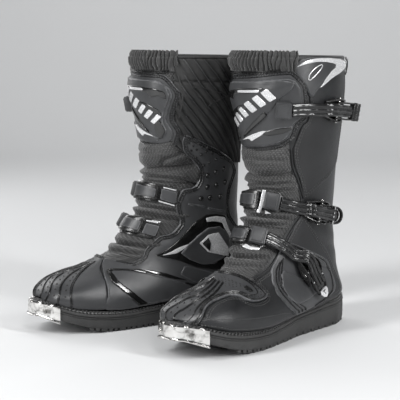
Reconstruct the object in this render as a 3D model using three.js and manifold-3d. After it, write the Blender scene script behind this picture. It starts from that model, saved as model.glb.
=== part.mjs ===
// A pair of three-buckle off-road riding boots, standing side by side with the toes towards -Y.
// Millimetres, +Z up. Each boot is drawn once as a left boot in its own frame (x lateral, y towards
// the heel, origin on the ground under the leg), and the right boot is its mirror image.
import * as THREE from "three";
import { mergeVertices } from "three/addons/utils/BufferGeometryUtils.js";
import Module from "manifold-3d";

const wasm = await Module();
wasm.setup();

// ---- Driving dimensions ----
const STANCE_X = 62; // half the distance between the two leg axes
const STANCE_Y = 21; // the left boot stands this far back, the right boot this far forward
const TOE_OUT_DEGREES = 10;
const PAIR_CENTRE_Y = 60.6; // from the middle of the two leg axes to the middle of the whole pair

// Sections of the upper from the top of the shaft, station 0, to the tip of the toe, the last station.
// Each is a superellipse between a point on the instep line and a point on the heel and sole line:
// [front y, front z, back y, back z, lateral width, medial width, centre x, widest fraction,
// front power, back power]
const SECTIONS = [
  [-64, 306, 67, 304, 56, 56, 0, 0.5, 2.2, 2.2],
  [-64, 270, 67, 270, 56, 55, 0, 0.5, 2.2, 2.2],
  [-59, 236, 66, 234, 52, 49, 0, 0.5, 2.1, 2.2],
  [-55, 206, 64, 196, 47, 42, 0, 0.5, 2.0, 2.2],
  [-55, 178, 63, 158, 42, 37, 0, 0.48, 1.9, 2.3],
  [-58, 154, 62, 124, 39, 35, 0, 0.46, 1.9, 2.4],
  [-66, 130, 64, 90, 39, 35, 0, 0.42, 2.0, 2.6],
  [-80, 108, 66, 58, 40, 36, 0, 0.34, 2.0, 3.0],
  [-98, 89, 66, 33, 42, 37, 0, 0.26, 2.1, 4.0],
  [-116, 75, 20, 28, 44, 39, 1, 0.22, 2.2, 5.0],
  [-136, 66, -45, 24, 47, 41, 1, 0.22, 2.3, 5.0],
  [-156, 60, -100, 20, 49, 42, 2, 0.24, 2.4, 4.0],
  [-173, 54, -148, 24, 44, 38, 2, 0.26, 2.4, 3.0],
  [-184, 45, -175, 32, 32, 29, 1, 0.3, 2.4, 2.4],
  [-189, 38, -189, 36, 6, 6, 1, 0.4, 2.0, 2.0],
];

// Layers of the upper, as heights above and below the surface through the sections.
const LINING = {
  low: -7.8,
  high: -5.2,
  lastStation: 12.9,
  lastInnerStation: 12.3,
  columns: 16,
};
const LEATHER = { low: -2.6, high: 0 };
const COLLAR = { low: -2.6, high: 3 };
const MOULDING = { low: 2.3, high: 3.9 };
const SHIN_MOULDING = { low: 0.9, high: 5 };
const CARRIER = { low: 1.3, high: 3.2 };
const PANEL_GAP_DEGREES = 1;
const ROW_STEP = 0.8; // most stations between two rows of facets
const COLUMN_STEP = 21; // most degrees between two columns of facets
const MOULDING_COLUMN_STEP = 12;

// Outlines of the panels as [station, first degree, last degree]. Degrees run round each section from
// the instep line, positive on the lateral side; 180 is the heel and sole line.
const FRONT_PANEL_EDGES = [
  [0.5, -52, 46],
  [2.1, -52, 47],
  [3.0, -52, 42],
  [3.25, -60, 44],
  [3.6, -84, 46],
  [4.1, -84, 55],
  [4.8, -84, 64],
  [5.35, -80, 64],
  [5.9, -76, 55],
  [6.5, -68, 48],
  [7.3, -56, 42],
  [8.2, -44, 37],
  [8.6, -38, 34],
  [8.8, -30, 33],
];
const CALF_PANEL_EDGES = [
  [0, -178, -53],
  [3.0, -178, -53],
  [3.22, -178, -64],
  [3.4, -178, -96],
];
const COLLAR_EDGES = [
  [0, -51, 48],
  [0.44, -51, 45],
];
const LEATHER_TOP_DEGREES = 49;
const LEATHER_BACK_DEGREES = 178; // where the shaft's leather meets the calf panel at the back
const ANKLE_STATION = 3.6; // below here the leather reaches round the back to the medial side
const VAMP_STATION = 8.95; // below here it wraps the whole foot
const LEATHER_END_STATION = 13.2;
const SHAFT_LEATHER_END = [3.65, 47, 178]; // each piece of the leather runs a little into the next
const ANKLE_LEATHER_END = [9, 33, 324];
const VAMP_SEAM_DEGREES = 0.6; // half the gap of the vamp's seam on the instep line
const LEATHER_COLUMN_STEP = 26;
const SHIN_PLATE_EDGES = [
  [0.56, -42, 42],
  [0.85, -50, 55],
  [1.15, -56, 59],
  [1.9, -47, 58],
  [2.1, -48, 49],
  [2.5, -56, 45],
  [2.9, -54, 30],
  [3.12, -44, 8],
];
const MEDIAL_SHELL_EDGES = [
  [2.55, -66, -59],
  [2.82, -84, -57],
  [3.3, -118, -60],
  [3.7, -130, -76],
  [4.15, -122, -77],
  [4.54, -118, -72],
  [4.8, -116, -58],
  [5.3, -116, -54],
  [5.7, -130, -54],
  [6.1, -144, -61],
  [6.7, -150, -54],
  [6.95, -150, -44],
  [7.7, -134, -37],
  [8.2, -120, -40],
  [8.7, -106, -38],
  [8.85, -104, -26],
  [8.95, -104, -13],
  [9.3, -102, -18],
  [10, -101, -38],
  [11, -101, -78],
  [11.4, -101, -92],
];
const TOE_CAP_EDGES = [
  [8.92, -9, 21],
  [9.1, -9, 34],
  [9.66, -22, 58],
  [10.15, -40, 59],
  [10.4, -50, 36],
  [10.8, -64, 25],
  [11.5, -94, 22],
  [12.4, -100, 30],
  [13.1, -100, 50],
  [13.5, -92, 88],
  [13.9, -80, 80],
];
const ANKLE_GUARD_EDGES = [
  [6.65, 54, 72],
  [6.8, 49, 86],
  [7.0, 46, 91],
  [7.5, 43, 90],
  [8.0, 42, 91],
  [8.7, 48, 93],
  [9.3, 61, 98],
  [9.65, 78, 102],
  [9.9, 92, 104],
];
const INSTEP_CARRIER_EDGES = [
  [4.76, -53, 38],
  [5.52, -53, 38],
];
const FOREFOOT_CARRIER_EDGES = [
  [6.3, -40, 28],
  [7.2, -40, 28],
];

// Sole: [y, lateral half width, medial half width, z of its bedding face].
const SOLE_ROWS = [
  [78, 20, 18, 30.4],
  [74, 27, 25, 30.4],
  [66, 32.5, 31, 29.8],
  [44, 40.5, 36, 28.3],
  [20, 41, 37, 27.2],
  [-34, 42, 39, 23.9],
  [-60, 46, 41, 21.8],
  [-100, 51, 44, 19.3],
  [-135, 50, 44, 21.1],
  [-160, 44, 40, 25.2],
  [-176, 36, 34, 30],
  [-188, 25, 24, 33.6],
  [-195, 14, 13, 34.6],
  [-199, 6, 6, 35],
];
const WELT_HEIGHT = 4.2;
const WELT_WIDTH = 7;
const WELT_INSET = 0.6;
const FIT_GAP = 0.3;
const TOE_SPRING = { height: 21, startY: -110, length: 85 };
const TREAD = { grooveWidth: 3.2, grooveDepth: 3.5, grooveLength: 140, pitch: 13, firstY: 58, lastY: -112 };
const FOOTBED = { thickness: 4, lift: 11.4, inset: 15, firstRow: 3, lastRow: 9 };
const TOE_PLATE = {
  startY: -179,
  gap: 0.5,
  wall: 2.4,
  lip: 1.6,
  lipHeight: 2,
  lipSlope: 0.6,
  drop: 0.5,
  rise: 1,
};

// Buckles of the left boot, from the top down. Each has a keeper block, a ladder strap that leaves it,
// and a hinged lever. Places are [station, degrees]; via lists the strap's way from keeper to pin.
const BUCKLES = [
  {
    name: "top",
    keeper: [1.56, 33],
    via: [[1.57, 53], [1.58, 66], [1.6, 78]],
    pin: [1.63, 94],
    tip: [1.69, 130],
    keeperLift: 5.6,
    baseLift: 0.8,
    viaLift: 7.6,
  },
  {
    name: "middle",
    keeper: [5.14, 25],
    via: [[5.17, 44], [5.18, 57], [5.17, 68]],
    pin: [5.16, 83],
    tip: [5.13, 124],
    keeperLift: 3.8,
    baseLift: 1,
    viaLift: 5,
  },
  {
    name: "lower",
    keeper: [6.76, 18],
    via: [[6.82, 36], [6.95, 47], [7.12, 55]],
    pin: [7.55, 67],
    tip: [8.62, 85],
    keeperLift: 4.6,
    baseLift: 6.8,
    viaLift: 8.8,
  },
];
const STRAP = {
  halfWidth: 7,
  halfThickness: 1.5,
  centreHeight: 9.4,
  rootHeight: 3.42,
  straightFrom: -14,
  overPin: 4,
  tailLength: 25,
  keeperGap: 2.2,
  samples: 13,
};
const KEEPER = { halfLength: 8, halfWidth: 8.8, height: 7.6, bevel: 1.4 };
const BASE = {
  halfLength: 16,
  halfWidth: 12.4,
  shoulder: 7.2,
  plate: 1.6,
  wall: 2,
  wallHeight: 9,
  endHeight: 3,
};
const PIN = { radius: 1.4, height: 6, halfLength: 12.9, clearance: 0.35, sides: 12 };
const LEVER = {
  eyeRadius: 3.2,
  armWidth: 2,
  armOuter: 9.7,
  length: 37,
  tipStart: 28.5,
  shoulder: 9,
  tipChamfer: 2,
  tipRise: 1,
  low: 3.6,
  high: 8.8,
};
const HOLE_MARGIN = 2; // how far the tool that cuts a pin hole runs past the part

// ---- Looks of the plain model ----
const LOOKS = {
  leather: { color: 0x1b1c1f, roughness: 0.55, metalness: 0 },
  flexPanel: { color: 0x18191b, roughness: 0.85, metalness: 0 },
  ribbedPanel: { color: 0x17181a, roughness: 0.9, metalness: 0 },
  moulding: { color: 0x1f2023, roughness: 0.5, metalness: 0 },
  collar: { color: 0x141517, roughness: 0.95, metalness: 0 },
  lining: { color: 0x101113, roughness: 0.95, metalness: 0 },
  footbed: { color: 0x26272a, roughness: 0.95, metalness: 0 },
  rubber: { color: 0x161617, roughness: 0.8, metalness: 0 },
  buckle: { color: 0x0e0f10, roughness: 0.3, metalness: 0 },
  strap: { color: 0x2a2b2d, roughness: 0.35, metalness: 0 },
  steel: { color: 0xc9cbcd, roughness: 0.2, metalness: 1 },
};

// ---- Surface of the upper ----
function sectionAt(station) {
  const last = SECTIONS.length - 1;
  const place = Math.min(Math.max(station, 0), last);
  const index = Math.min(Math.floor(place), last - 1);
  const u = place - index;
  const [p0, p1, p2, p3] = [-1, 0, 1, 2].map((k) => SECTIONS[Math.min(Math.max(index + k, 0), last)]);
  return p1.map((value, k) => {
    const linear = p2[k] - p0[k];
    const square = 2 * p0[k] - 5 * value + 4 * p2[k] - p3[k];
    const cube = 3 * (value - p2[k]) + p3[k] - p0[k];
    return value + 0.5 * u * (linear + u * (square + u * cube));
  });
}

function surfacePoint(station, degrees) {
  const values = sectionAt(station);
  const [frontY, frontZ, backY, backZ, lateral, medial, centreX, widest, frontPower, backPower] = values;
  const angle = THREE.MathUtils.degToRad(degrees);
  const cosine = Math.cos(angle);
  const sine = Math.sin(angle);
  const power = cosine >= 0 ? frontPower : backPower;
  const along = Math.abs(cosine) ** (2 / power);
  const fraction = cosine >= 0 ? widest + (1 - widest) * along : widest - widest * along;
  const across = (sine >= 0 ? lateral : -medial) * Math.abs(sine) ** (2 / power);
  return new THREE.Vector3(
    centreX + across,
    backY + fraction * (frontY - backY),
    backZ + fraction * (frontZ - backZ),
  );
}

function surfaceNormal(station, degrees) {
  const alongStations = surfacePoint(station + 0.08, degrees).sub(surfacePoint(station - 0.08, degrees));
  const roundSection = surfacePoint(station, degrees + 3).sub(surfacePoint(station, degrees - 3));
  return alongStations.cross(roundSection).normalize();
}

function skin([station, degrees], lift) {
  return surfacePoint(station, degrees).addScaledVector(surfaceNormal(station, degrees), lift);
}

// ---- Mesh helpers ----
function geometryOf(points, faces) {
  const geometry = new THREE.BufferGeometry();
  const numbers = points.flatMap((p) => [p.x, p.y, p.z]);
  geometry.setAttribute("position", new THREE.Float32BufferAttribute(numbers, 3));
  geometry.setIndex(faces.flat());
  geometry.computeVertexNormals();
  return geometry;
}

// Joins loops of points, all of one length, into a skin. Faces point away from a loop's inside when
// each loop runs clockwise as seen looking along the row of loops.
function bands(loopCount, loopLength, closesRound) {
  const faces = [];
  for (let i = 0; i + 1 < loopCount + (closesRound ? 1 : 0); i++) {
    for (let j = 0; j < loopLength; j++) {
      const here = i * loopLength;
      const next = ((i + 1) % loopCount) * loopLength;
      const side = (j + 1) % loopLength;
      faces.push([here + j, next + j, here + side], [next + j, next + side, here + side]);
    }
  }
  return faces;
}

// A solid through a row of loops, with flat ends given as triangles on the loop's own points.
function loft(loops, endFaces) {
  const length = loops[0].length;
  const lastStart = (loops.length - 1) * length;
  const faces = bands(loops.length, length, false);
  endFaces.forEach(([a, b, c]) => faces.push([a, b, c], [lastStart + a, lastStart + c, lastStart + b]));
  return geometryOf(loops.flat(), faces);
}

function fan(length) {
  return Array.from({ length: length - 2 }, (_, k) => [0, k + 1, k + 2]);
}

function toSolid(geometry) {
  const plain = new THREE.BufferGeometry().setAttribute("position", geometry.getAttribute("position"));
  plain.setIndex(geometry.index);
  const merged = mergeVertices(plain, 1e-3);
  const vertProperties = merged.attributes.position.array;
  const triVerts = new Uint32Array(merged.index.array);
  return new wasm.Manifold(new wasm.Mesh({ numProp: 3, vertProperties, triVerts }));
}

function toGeometry(solid) {
  const mesh = solid.getMesh();
  const geometry = new THREE.BufferGeometry();
  geometry.setAttribute("position", new THREE.BufferAttribute(new Float32Array(mesh.vertProperties), 3));
  geometry.setIndex(new THREE.BufferAttribute(new Uint32Array(mesh.triVerts), 1));
  geometry.computeVertexNormals();
  return geometry;
}

// ---- Panels of the upper ----
function fineRows(edges) {
  const rows = [edges[0]];
  edges.slice(1).forEach((row) => {
    const previous = rows.at(-1);
    const parts = Math.ceil((row[0] - previous[0]) / ROW_STEP);
    for (let k = 1; k <= parts; k++) {
      rows.push(previous.map((value, n) => value + (k / parts) * (row[n] - value)));
    }
  });
  return rows;
}

// A plate that follows the surface between two heights, inside an outline.
function panel(edges, layer, columnStep = COLUMN_STEP) {
  const rows = fineRows(edges);
  const widest = Math.max(...rows.map(([, first, last]) => last - first));
  const columns = Math.max(2, Math.ceil(widest / columnStep));
  const steps = Array.from({ length: columns + 1 }, (_, k) => k / columns);
  const loops = rows.map(([station, first, last]) => {
    const places = steps.map((step) => [station, first + step * (last - first)]);
    const outer = places.map((place) => skin(place, layer.high));
    const inner = places.map((place) => skin(place, layer.low));
    return [...outer, ...inner.reverse()];
  });
  const endFaces = [];
  for (let k = 0; k < columns; k++) {
    const under = 2 * columns + 1 - k;
    endFaces.push([k, k + 1, under], [k + 1, under - 1, under]);
  }
  return loft(loops, endFaces);
}

function lining() {
  const degrees = Array.from({ length: LINING.columns }, (_, k) => (360 * k) / LINING.columns);
  const ring = (station, lift) => degrees.map((angle) => skin([station, angle], lift));
  const stations = (last) => {
    const count = Math.ceil(last);
    return Array.from({ length: count + 1 }, (_, k) => (k / count) * last);
  };
  const outer = stations(LINING.lastStation).map((station) => ring(station, LINING.high));
  const inner = stations(LINING.lastInnerStation).map((station) => ring(station, LINING.low));
  return loft([...inner.reverse(), ...outer], fan(LINING.columns));
}

// The leather wraps the lateral side of the shaft, the back of the ankle and heel, and all of the foot.
function leatherUpper() {
  const lateralEdge = FRONT_PANEL_EDGES.map(([station, , lateral]) => [station, lateral + PANEL_GAP_DEGREES]);
  const shaft = [[0, LEATHER_TOP_DEGREES], ...lateralEdge.filter(([station]) => station < ANKLE_STATION)];
  const ankle = FRONT_PANEL_EDGES.filter(([station]) => station >= ANKLE_STATION);
  const roundTheBack = ([station, medial, lateral]) => [
    station,
    lateral + PANEL_GAP_DEGREES,
    360 + medial - PANEL_GAP_DEGREES,
  ];
  const pieces = [
    [...shaft.map(([station, first]) => [station, first, LEATHER_BACK_DEGREES]), SHAFT_LEATHER_END],
    [...ankle.map(roundTheBack), ANKLE_LEATHER_END],
    [VAMP_STATION, LEATHER_END_STATION].map((station) => [
      station,
      VAMP_SEAM_DEGREES,
      360 - VAMP_SEAM_DEGREES,
    ]),
  ];
  const solids = pieces.map((edges) => toSolid(panel(edges, LEATHER, LEATHER_COLUMN_STEP)));
  return toGeometry(wasm.Manifold.union(solids));
}

// ---- Sole ----
function toeSpring(y) {
  const reach = THREE.MathUtils.clamp((TOE_SPRING.startY - y) / TOE_SPRING.length, 0, 1);
  return TOE_SPRING.height * reach * reach;
}

// The sole's outline, heel to toe along the lateral side and back along the medial side, moved inwards.
function soleOutline(inset) {
  const lateral = SOLE_ROWS.map(([y, width]) => new THREE.Vector2(width, y));
  const medial = SOLE_ROWS.map(([y, , width]) => new THREE.Vector2(-width, y)).reverse();
  const outline = [...lateral, ...medial];
  return outline.map((point, k) => {
    const before = outline.at(k - 1);
    const after = outline[(k + 1) % outline.length];
    const along = after.clone().sub(before).normalize();
    return new THREE.Vector2(point.x + inset * along.y, point.y - inset * along.x);
  });
}

function soleRing(inset, heightOf) {
  const rows = SOLE_ROWS.length;
  return soleOutline(inset).map((point, k) => {
    const row = k < rows ? k : 2 * rows - 1 - k;
    return new THREE.Vector3(point.x, point.y, heightOf(SOLE_ROWS[row]));
  });
}

const beddingZ = ([, , , z]) => z;
const sideTopZ = ([, , , z]) => z - WELT_HEIGHT;
const bottomZ = ([y]) => toeSpring(y);

function soleEndFaces() {
  const rows = SOLE_ROWS.length;
  const faces = [];
  for (let k = 0; k + 1 < rows; k++) {
    const across = 2 * rows - 1 - k;
    faces.push([k, k + 1, across - 1], [k, across - 1, across]);
  }
  return faces;
}

function block(size, centre) {
  return toSolid(new THREE.BoxGeometry(...size).translate(...centre));
}

function outsole() {
  const rings = [
    soleRing(0, bottomZ),
    soleRing(0, sideTopZ),
    soleRing(WELT_WIDTH, sideTopZ),
    soleRing(WELT_WIDTH, beddingZ),
  ];
  let solid = toSolid(loft(rings, soleEndFaces()));
  for (let y = TREAD.firstY; y >= TREAD.lastY; y -= TREAD.pitch) {
    solid = solid.subtract(block([TREAD.grooveLength, TREAD.grooveWidth, 2 * TREAD.grooveDepth], [0, y, 0]));
  }
  return toGeometry(solid);
}

function welt() {
  const outer = WELT_INSET;
  const inner = WELT_WIDTH - FIT_GAP;
  const raised = (row) => sideTopZ(row) + FIT_GAP;
  const rings = [
    soleRing(inner, raised),
    soleRing(outer, raised),
    soleRing(outer, beddingZ),
    soleRing(inner, beddingZ),
  ];
  return geometryOf(rings.flat(), bands(4, rings[0].length, true));
}

function footbed() {
  const rows = SOLE_ROWS.slice(FOOTBED.firstRow, FOOTBED.lastRow);
  const loops = rows.map(([y, lateral, medial, z]) => {
    const low = z + FOOTBED.lift;
    const corners = [
      [-medial + FOOTBED.inset, low],
      [lateral - FOOTBED.inset, low],
      [lateral - FOOTBED.inset, low + FOOTBED.thickness],
      [-medial + FOOTBED.inset, low + FOOTBED.thickness],
    ];
    return corners.map(([x, height]) => new THREE.Vector3(x, y, height)).reverse();
  });
  return loft(loops, fan(4));
}

// A bent steel strip round the front of the sole, with a small lip along its lower edge.
function toePlate() {
  const rows = SOLE_ROWS.length;
  const near = [];
  for (let k = 0; k < 2 * rows; k++) {
    const row = SOLE_ROWS[k < rows ? k : 2 * rows - 1 - k];
    if (row[0] <= TOE_PLATE.startY) near.push({ k, row });
  }
  const inside = TOE_PLATE.gap;
  const outside = inside + TOE_PLATE.wall;
  const edge = outside + TOE_PLATE.lip;
  const loops = near.map(({ k, row }) => {
    const low = bottomZ(row) - TOE_PLATE.drop;
    const high = beddingZ(row) + TOE_PLATE.rise;
    const section = [
      [inside, high],
      [outside, high],
      [outside, low + TOE_PLATE.lipHeight + TOE_PLATE.lipSlope],
      [edge, low + TOE_PLATE.lipHeight],
      [edge, low],
      [inside, low],
    ];
    return section.map(([outset, z]) => {
      const { x, y } = soleOutline(-outset)[k];
      return new THREE.Vector3(x, y, z);
    });
  });
  return loft(loops, [
    [0, 1, 2],
    [0, 2, 5],
    [2, 3, 4],
    [2, 4, 5],
  ]);
}

// ---- Buckles ----
// A frame on the surface: t along the strap, a across it, n outwards.
function frameAt(place, towards, lift) {
  const n = surfaceNormal(...place);
  const t = surfacePoint(...towards).sub(surfacePoint(...place)).projectOnPlane(n).normalize();
  const a = t.clone().cross(n);
  const origin = skin(place, lift);
  return { t, a, n, origin, matrix: new THREE.Matrix4().makeBasis(t, n, a).setPosition(origin) };
}

function inFrame(frame, t, n, a = 0) {
  const { origin, t: along, n: out, a: across } = frame;
  return origin.clone().addScaledVector(along, t).addScaledVector(out, n).addScaledVector(across, a);
}

// A side profile in t and n, given its width across.
function sidePlate(points, from, to) {
  const shape = new THREE.Shape(points.map(([t, n]) => new THREE.Vector2(t, n)));
  const plate = new THREE.ExtrudeGeometry(shape, { depth: to - from, bevelEnabled: false });
  return toSolid(plate.translate(0, 0, from));
}

function crossRod(radius, halfLength) {
  const rod = new THREE.CylinderGeometry(radius, radius, 2 * halfLength, PIN.sides);
  return toSolid(rod.rotateX(Math.PI / 2).translate(0, PIN.height, 0));
}

function arcPoints(centre, radius, fromDegrees, toDegrees, steps) {
  return Array.from({ length: steps + 1 }, (_, k) => {
    const angle = THREE.MathUtils.degToRad(fromDegrees + (k / steps) * (toDegrees - fromDegrees));
    return [centre[0] + radius * Math.cos(angle), centre[1] + radius * Math.sin(angle)];
  });
}

function keeperBlock() {
  const { halfLength: l, height: h, bevel: b, halfWidth: w } = KEEPER;
  const profile = [
    [-l, 0],
    [l, 0],
    [l, h - b],
    [l - b, h],
    [-l + b, h],
    [-l, h - b],
  ];
  return toGeometry(sidePlate(profile, -w, w));
}

function buckleBase() {
  const { halfLength: l, halfWidth: w, shoulder, plate, wall, wallHeight, endHeight } = BASE;
  const floor = [
    [-l, 0],
    [l, 0],
    [l, plate],
    [-l, plate],
  ];
  const side = [
    [-l, 0],
    [l, 0],
    [l, endHeight],
    [shoulder, wallHeight],
    [-shoulder, wallHeight],
    [-l, endHeight],
  ];
  const body = sidePlate(floor, -w, w)
    .add(sidePlate(side, -w, -w + wall))
    .add(sidePlate(side, w - wall, w));
  return toGeometry(body.subtract(crossRod(PIN.radius + PIN.clearance, w + HOLE_MARGIN)));
}

function lever() {
  const { eyeRadius, armWidth, armOuter, length, tipStart, tipChamfer, tipRise, low, high } = LEVER;
  const armEnd = tipStart + tipChamfer;
  const arm = [
    ...arcPoints([0, PIN.height], eyeRadius, 90, 270, 6),
    [armEnd, low],
    [armEnd, high],
    [LEVER.shoulder, high],
  ];
  const tip = [
    [tipStart, low],
    [length - tipChamfer, low],
    [length, low + tipChamfer],
    [length, high - tipRise],
    [length - tipChamfer, high + tipRise],
    [tipStart, high],
  ];
  const body = sidePlate(arm, -armOuter, -armOuter + armWidth)
    .add(sidePlate(arm, armOuter - armWidth, armOuter))
    .add(sidePlate(tip, -armOuter, armOuter));
  return toGeometry(body.subtract(crossRod(PIN.radius + PIN.clearance, armOuter + HOLE_MARGIN)));
}

function leverPin() {
  return toGeometry(crossRod(PIN.radius, PIN.halfLength));
}

function framesOf(buckle) {
  const keeper = frameAt(buckle.keeper, buckle.via[0], buckle.keeperLift);
  const pin = frameAt(buckle.pin, buckle.tip, buckle.baseLift);
  return { keeper, pin };
}

// The strap's start, where it hinges at the keeper.
function strapStart(buckle) {
  return inFrame(framesOf(buckle).keeper, KEEPER.halfLength + STRAP.keeperGap, STRAP.rootHeight);
}

function ladderStrap(buckle) {
  const { keeper, pin } = framesOf(buckle);
  const onPin = (t) => inFrame(pin, t, STRAP.centreHeight);
  const way = [strapStart(buckle), ...buckle.via.map((place) => skin(place, buckle.viaLift))];
  way.push(onPin(STRAP.straightFrom), onPin(STRAP.overPin), onPin(STRAP.tailLength));
  const ups = [keeper.n, ...buckle.via.map((place) => surfaceNormal(...place)), pin.n, pin.n, pin.n];
  const curve = new THREE.CatmullRomCurve3(way, false, "centripetal");
  const loops = [];
  for (let k = 0; k <= STRAP.samples; k++) {
    const u = k / STRAP.samples;
    const index = Math.min(Math.floor(u * (ups.length - 1)), ups.length - 2);
    const up = ups[index].clone().lerp(ups[index + 1], u * (ups.length - 1) - index);
    const along = curve.getTangent(u);
    up.projectOnPlane(along).normalize();
    const across = along.clone().cross(up);
    const { halfWidth: w, halfThickness: h } = STRAP;
    const corners = [[-w, -h], [w, -h], [w, h], [-w, h]];
    const at = ([a, n]) => curve.getPoint(u).addScaledVector(across, a).addScaledVector(up, n);
    loops.push(corners.map(at));
  }
  return loft(loops, fan(4));
}

// ---- Assembly ----
function mesh(name, geometry, look) {
  const made = new THREE.Mesh(geometry, new THREE.MeshStandardMaterial(LOOKS[look]));
  made.name = name;
  return made;
}

function boot(side) {
  const group = new THREE.Group();
  const add = (name, geometry, look) => group.add(mesh(side + "_" + name, geometry, look));
  add("outsole", outsole(), "rubber");
  add("welt", welt(), "rubber");
  add("footbed", footbed(), "footbed");
  add("toe_plate", toePlate(), "steel");
  add("lining", lining(), "lining");
  add("collar", panel(COLLAR_EDGES, COLLAR), "collar");
  add("flex_panel", panel(FRONT_PANEL_EDGES, LEATHER), "flexPanel");
  add("leather_upper", leatherUpper(), "leather");
  add("calf_panel", panel(CALF_PANEL_EDGES, LEATHER), "ribbedPanel");
  add("shin_plate", panel(SHIN_PLATE_EDGES, SHIN_MOULDING, MOULDING_COLUMN_STEP), "moulding");
  add("medial_shell", panel(MEDIAL_SHELL_EDGES, MOULDING, MOULDING_COLUMN_STEP), "moulding");
  add("toe_cap", panel(TOE_CAP_EDGES, MOULDING, MOULDING_COLUMN_STEP), "moulding");
  add("ankle_guard", panel(ANKLE_GUARD_EDGES, MOULDING, MOULDING_COLUMN_STEP), "moulding");
  add("instep_carrier", panel(INSTEP_CARRIER_EDGES, CARRIER, MOULDING_COLUMN_STEP), "buckle");
  add("forefoot_carrier", panel(FOREFOOT_CARRIER_EDGES, CARRIER, MOULDING_COLUMN_STEP), "buckle");
  BUCKLES.forEach((buckle) => {
    const { keeper, pin } = framesOf(buckle);
    add(buckle.name + "_keeper", keeperBlock().applyMatrix4(keeper.matrix), "buckle");
    add(buckle.name + "_strap", ladderStrap(buckle), "strap");
    add(buckle.name + "_buckle_base", buckleBase().applyMatrix4(pin.matrix), "buckle");
    add(buckle.name + "_lever", lever().applyMatrix4(pin.matrix), "buckle");
    add(buckle.name + "_lever_pin", leverPin().applyMatrix4(pin.matrix), "steel");
  });
  return group;
}

const pair = new THREE.Group();
const left = boot("left");
left.position.set(STANCE_X, STANCE_Y + PAIR_CENTRE_Y, 0);
left.rotation.z = THREE.MathUtils.degToRad(TOE_OUT_DEGREES);
const right = boot("right");
right.scale.x = -1;
right.position.set(-STANCE_X, -STANCE_Y + PAIR_CENTRE_Y, 0);
right.rotation.z = -THREE.MathUtils.degToRad(TOE_OUT_DEGREES);
pair.add(left, right);

export default pair;
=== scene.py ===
import math

import bmesh
import bpy
import numpy as np
from mathutils import Matrix, Vector, noise
from mathutils.geometry import delaunay_2d_cdt


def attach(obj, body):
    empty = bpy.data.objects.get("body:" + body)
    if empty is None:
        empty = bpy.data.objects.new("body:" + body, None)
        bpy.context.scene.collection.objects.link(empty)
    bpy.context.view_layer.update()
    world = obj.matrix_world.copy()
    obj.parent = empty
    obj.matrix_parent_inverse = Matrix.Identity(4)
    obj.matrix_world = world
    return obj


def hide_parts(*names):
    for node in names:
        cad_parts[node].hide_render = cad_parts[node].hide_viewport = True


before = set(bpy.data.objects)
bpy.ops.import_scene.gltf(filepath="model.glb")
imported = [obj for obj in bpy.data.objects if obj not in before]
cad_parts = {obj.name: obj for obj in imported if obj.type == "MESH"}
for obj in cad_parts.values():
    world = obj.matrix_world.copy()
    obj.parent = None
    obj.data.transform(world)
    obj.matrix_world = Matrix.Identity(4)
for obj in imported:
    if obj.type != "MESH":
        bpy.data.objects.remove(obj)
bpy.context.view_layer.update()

MM = 0.001
STANCE_X = 62
STANCE_Y = 21
TOE_OUT = math.radians(10)
PAIR_CENTRE_Y = 60.6

# ---- The surface of the upper, as in the CAD source ----
# front y, front z, back y, back z, lateral width, medial width, centre x, widest fraction, powers
SECTIONS = np.array(
    [
        [-64, 306, 67, 304, 56, 56, 0, 0.5, 2.2, 2.2],
        [-64, 270, 67, 270, 56, 55, 0, 0.5, 2.2, 2.2],
        [-59, 236, 66, 234, 52, 49, 0, 0.5, 2.1, 2.2],
        [-55, 206, 64, 196, 47, 42, 0, 0.5, 2.0, 2.2],
        [-55, 178, 63, 158, 42, 37, 0, 0.48, 1.9, 2.3],
        [-58, 154, 62, 124, 39, 35, 0, 0.46, 1.9, 2.4],
        [-66, 130, 64, 90, 39, 35, 0, 0.42, 2.0, 2.6],
        [-80, 108, 66, 58, 40, 36, 0, 0.34, 2.0, 3.0],
        [-98, 89, 66, 33, 42, 37, 0, 0.26, 2.1, 4.0],
        [-116, 75, 20, 28, 44, 39, 1, 0.22, 2.2, 5.0],
        [-136, 66, -45, 24, 47, 41, 1, 0.22, 2.3, 5.0],
        [-156, 60, -100, 20, 49, 42, 2, 0.24, 2.4, 4.0],
        [-173, 54, -148, 24, 44, 38, 2, 0.26, 2.4, 3.0],
        [-184, 45, -175, 32, 32, 29, 1, 0.3, 2.4, 2.4],
        [-189, 38, -189, 36, 6, 6, 1, 0.4, 2.0, 2.0],
    ],
    float,
)
LAST_STATION = len(SECTIONS) - 1


def surface(s, d):
    """Points in mm at stations s and degrees d, for arrays of any one shape."""
    s = np.clip(np.asarray(s, float), 0, LAST_STATION)
    d = np.radians(np.asarray(d, float))
    i = np.minimum(s.astype(int), LAST_STATION - 1)
    u = (s - i)[..., None]
    p0, p1, p2, p3 = (SECTIONS[np.clip(i + k, 0, LAST_STATION)] for k in (-1, 0, 1, 2))
    line, square, cube = p2 - p0, 2 * p0 - 5 * p1 + 4 * p2 - p3, 3 * (p1 - p2) + p3 - p0
    v = p1 + 0.5 * u * (line + u * (square + u * cube))
    cosine, sine = np.cos(d), np.sin(d)
    power = np.where(cosine >= 0, v[..., 8], v[..., 9])
    along = np.abs(cosine) ** (2 / power)
    widest = v[..., 7]
    f = np.where(cosine >= 0, widest + (1 - widest) * along, widest - widest * along)
    across = np.where(sine >= 0, v[..., 4], -v[..., 5]) * np.abs(sine) ** (2 / power)
    return np.stack(
        [
            v[..., 6] + across, v[..., 2] + f * (v[..., 0] - v[..., 2]),
            v[..., 3] + f * (v[..., 1] - v[..., 3])
        ],
        axis=-1,
    )


def unit(v):
    return v / np.maximum(np.linalg.norm(v, axis=-1, keepdims=True), 1e-12)


def normal(s, d):
    s, d = np.asarray(s, float), np.asarray(d, float)
    along = surface(s + 0.08, d) - surface(s - 0.08, d)
    return unit(np.cross(along, surface(s, d + 3) - surface(s, d - 3)))


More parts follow.
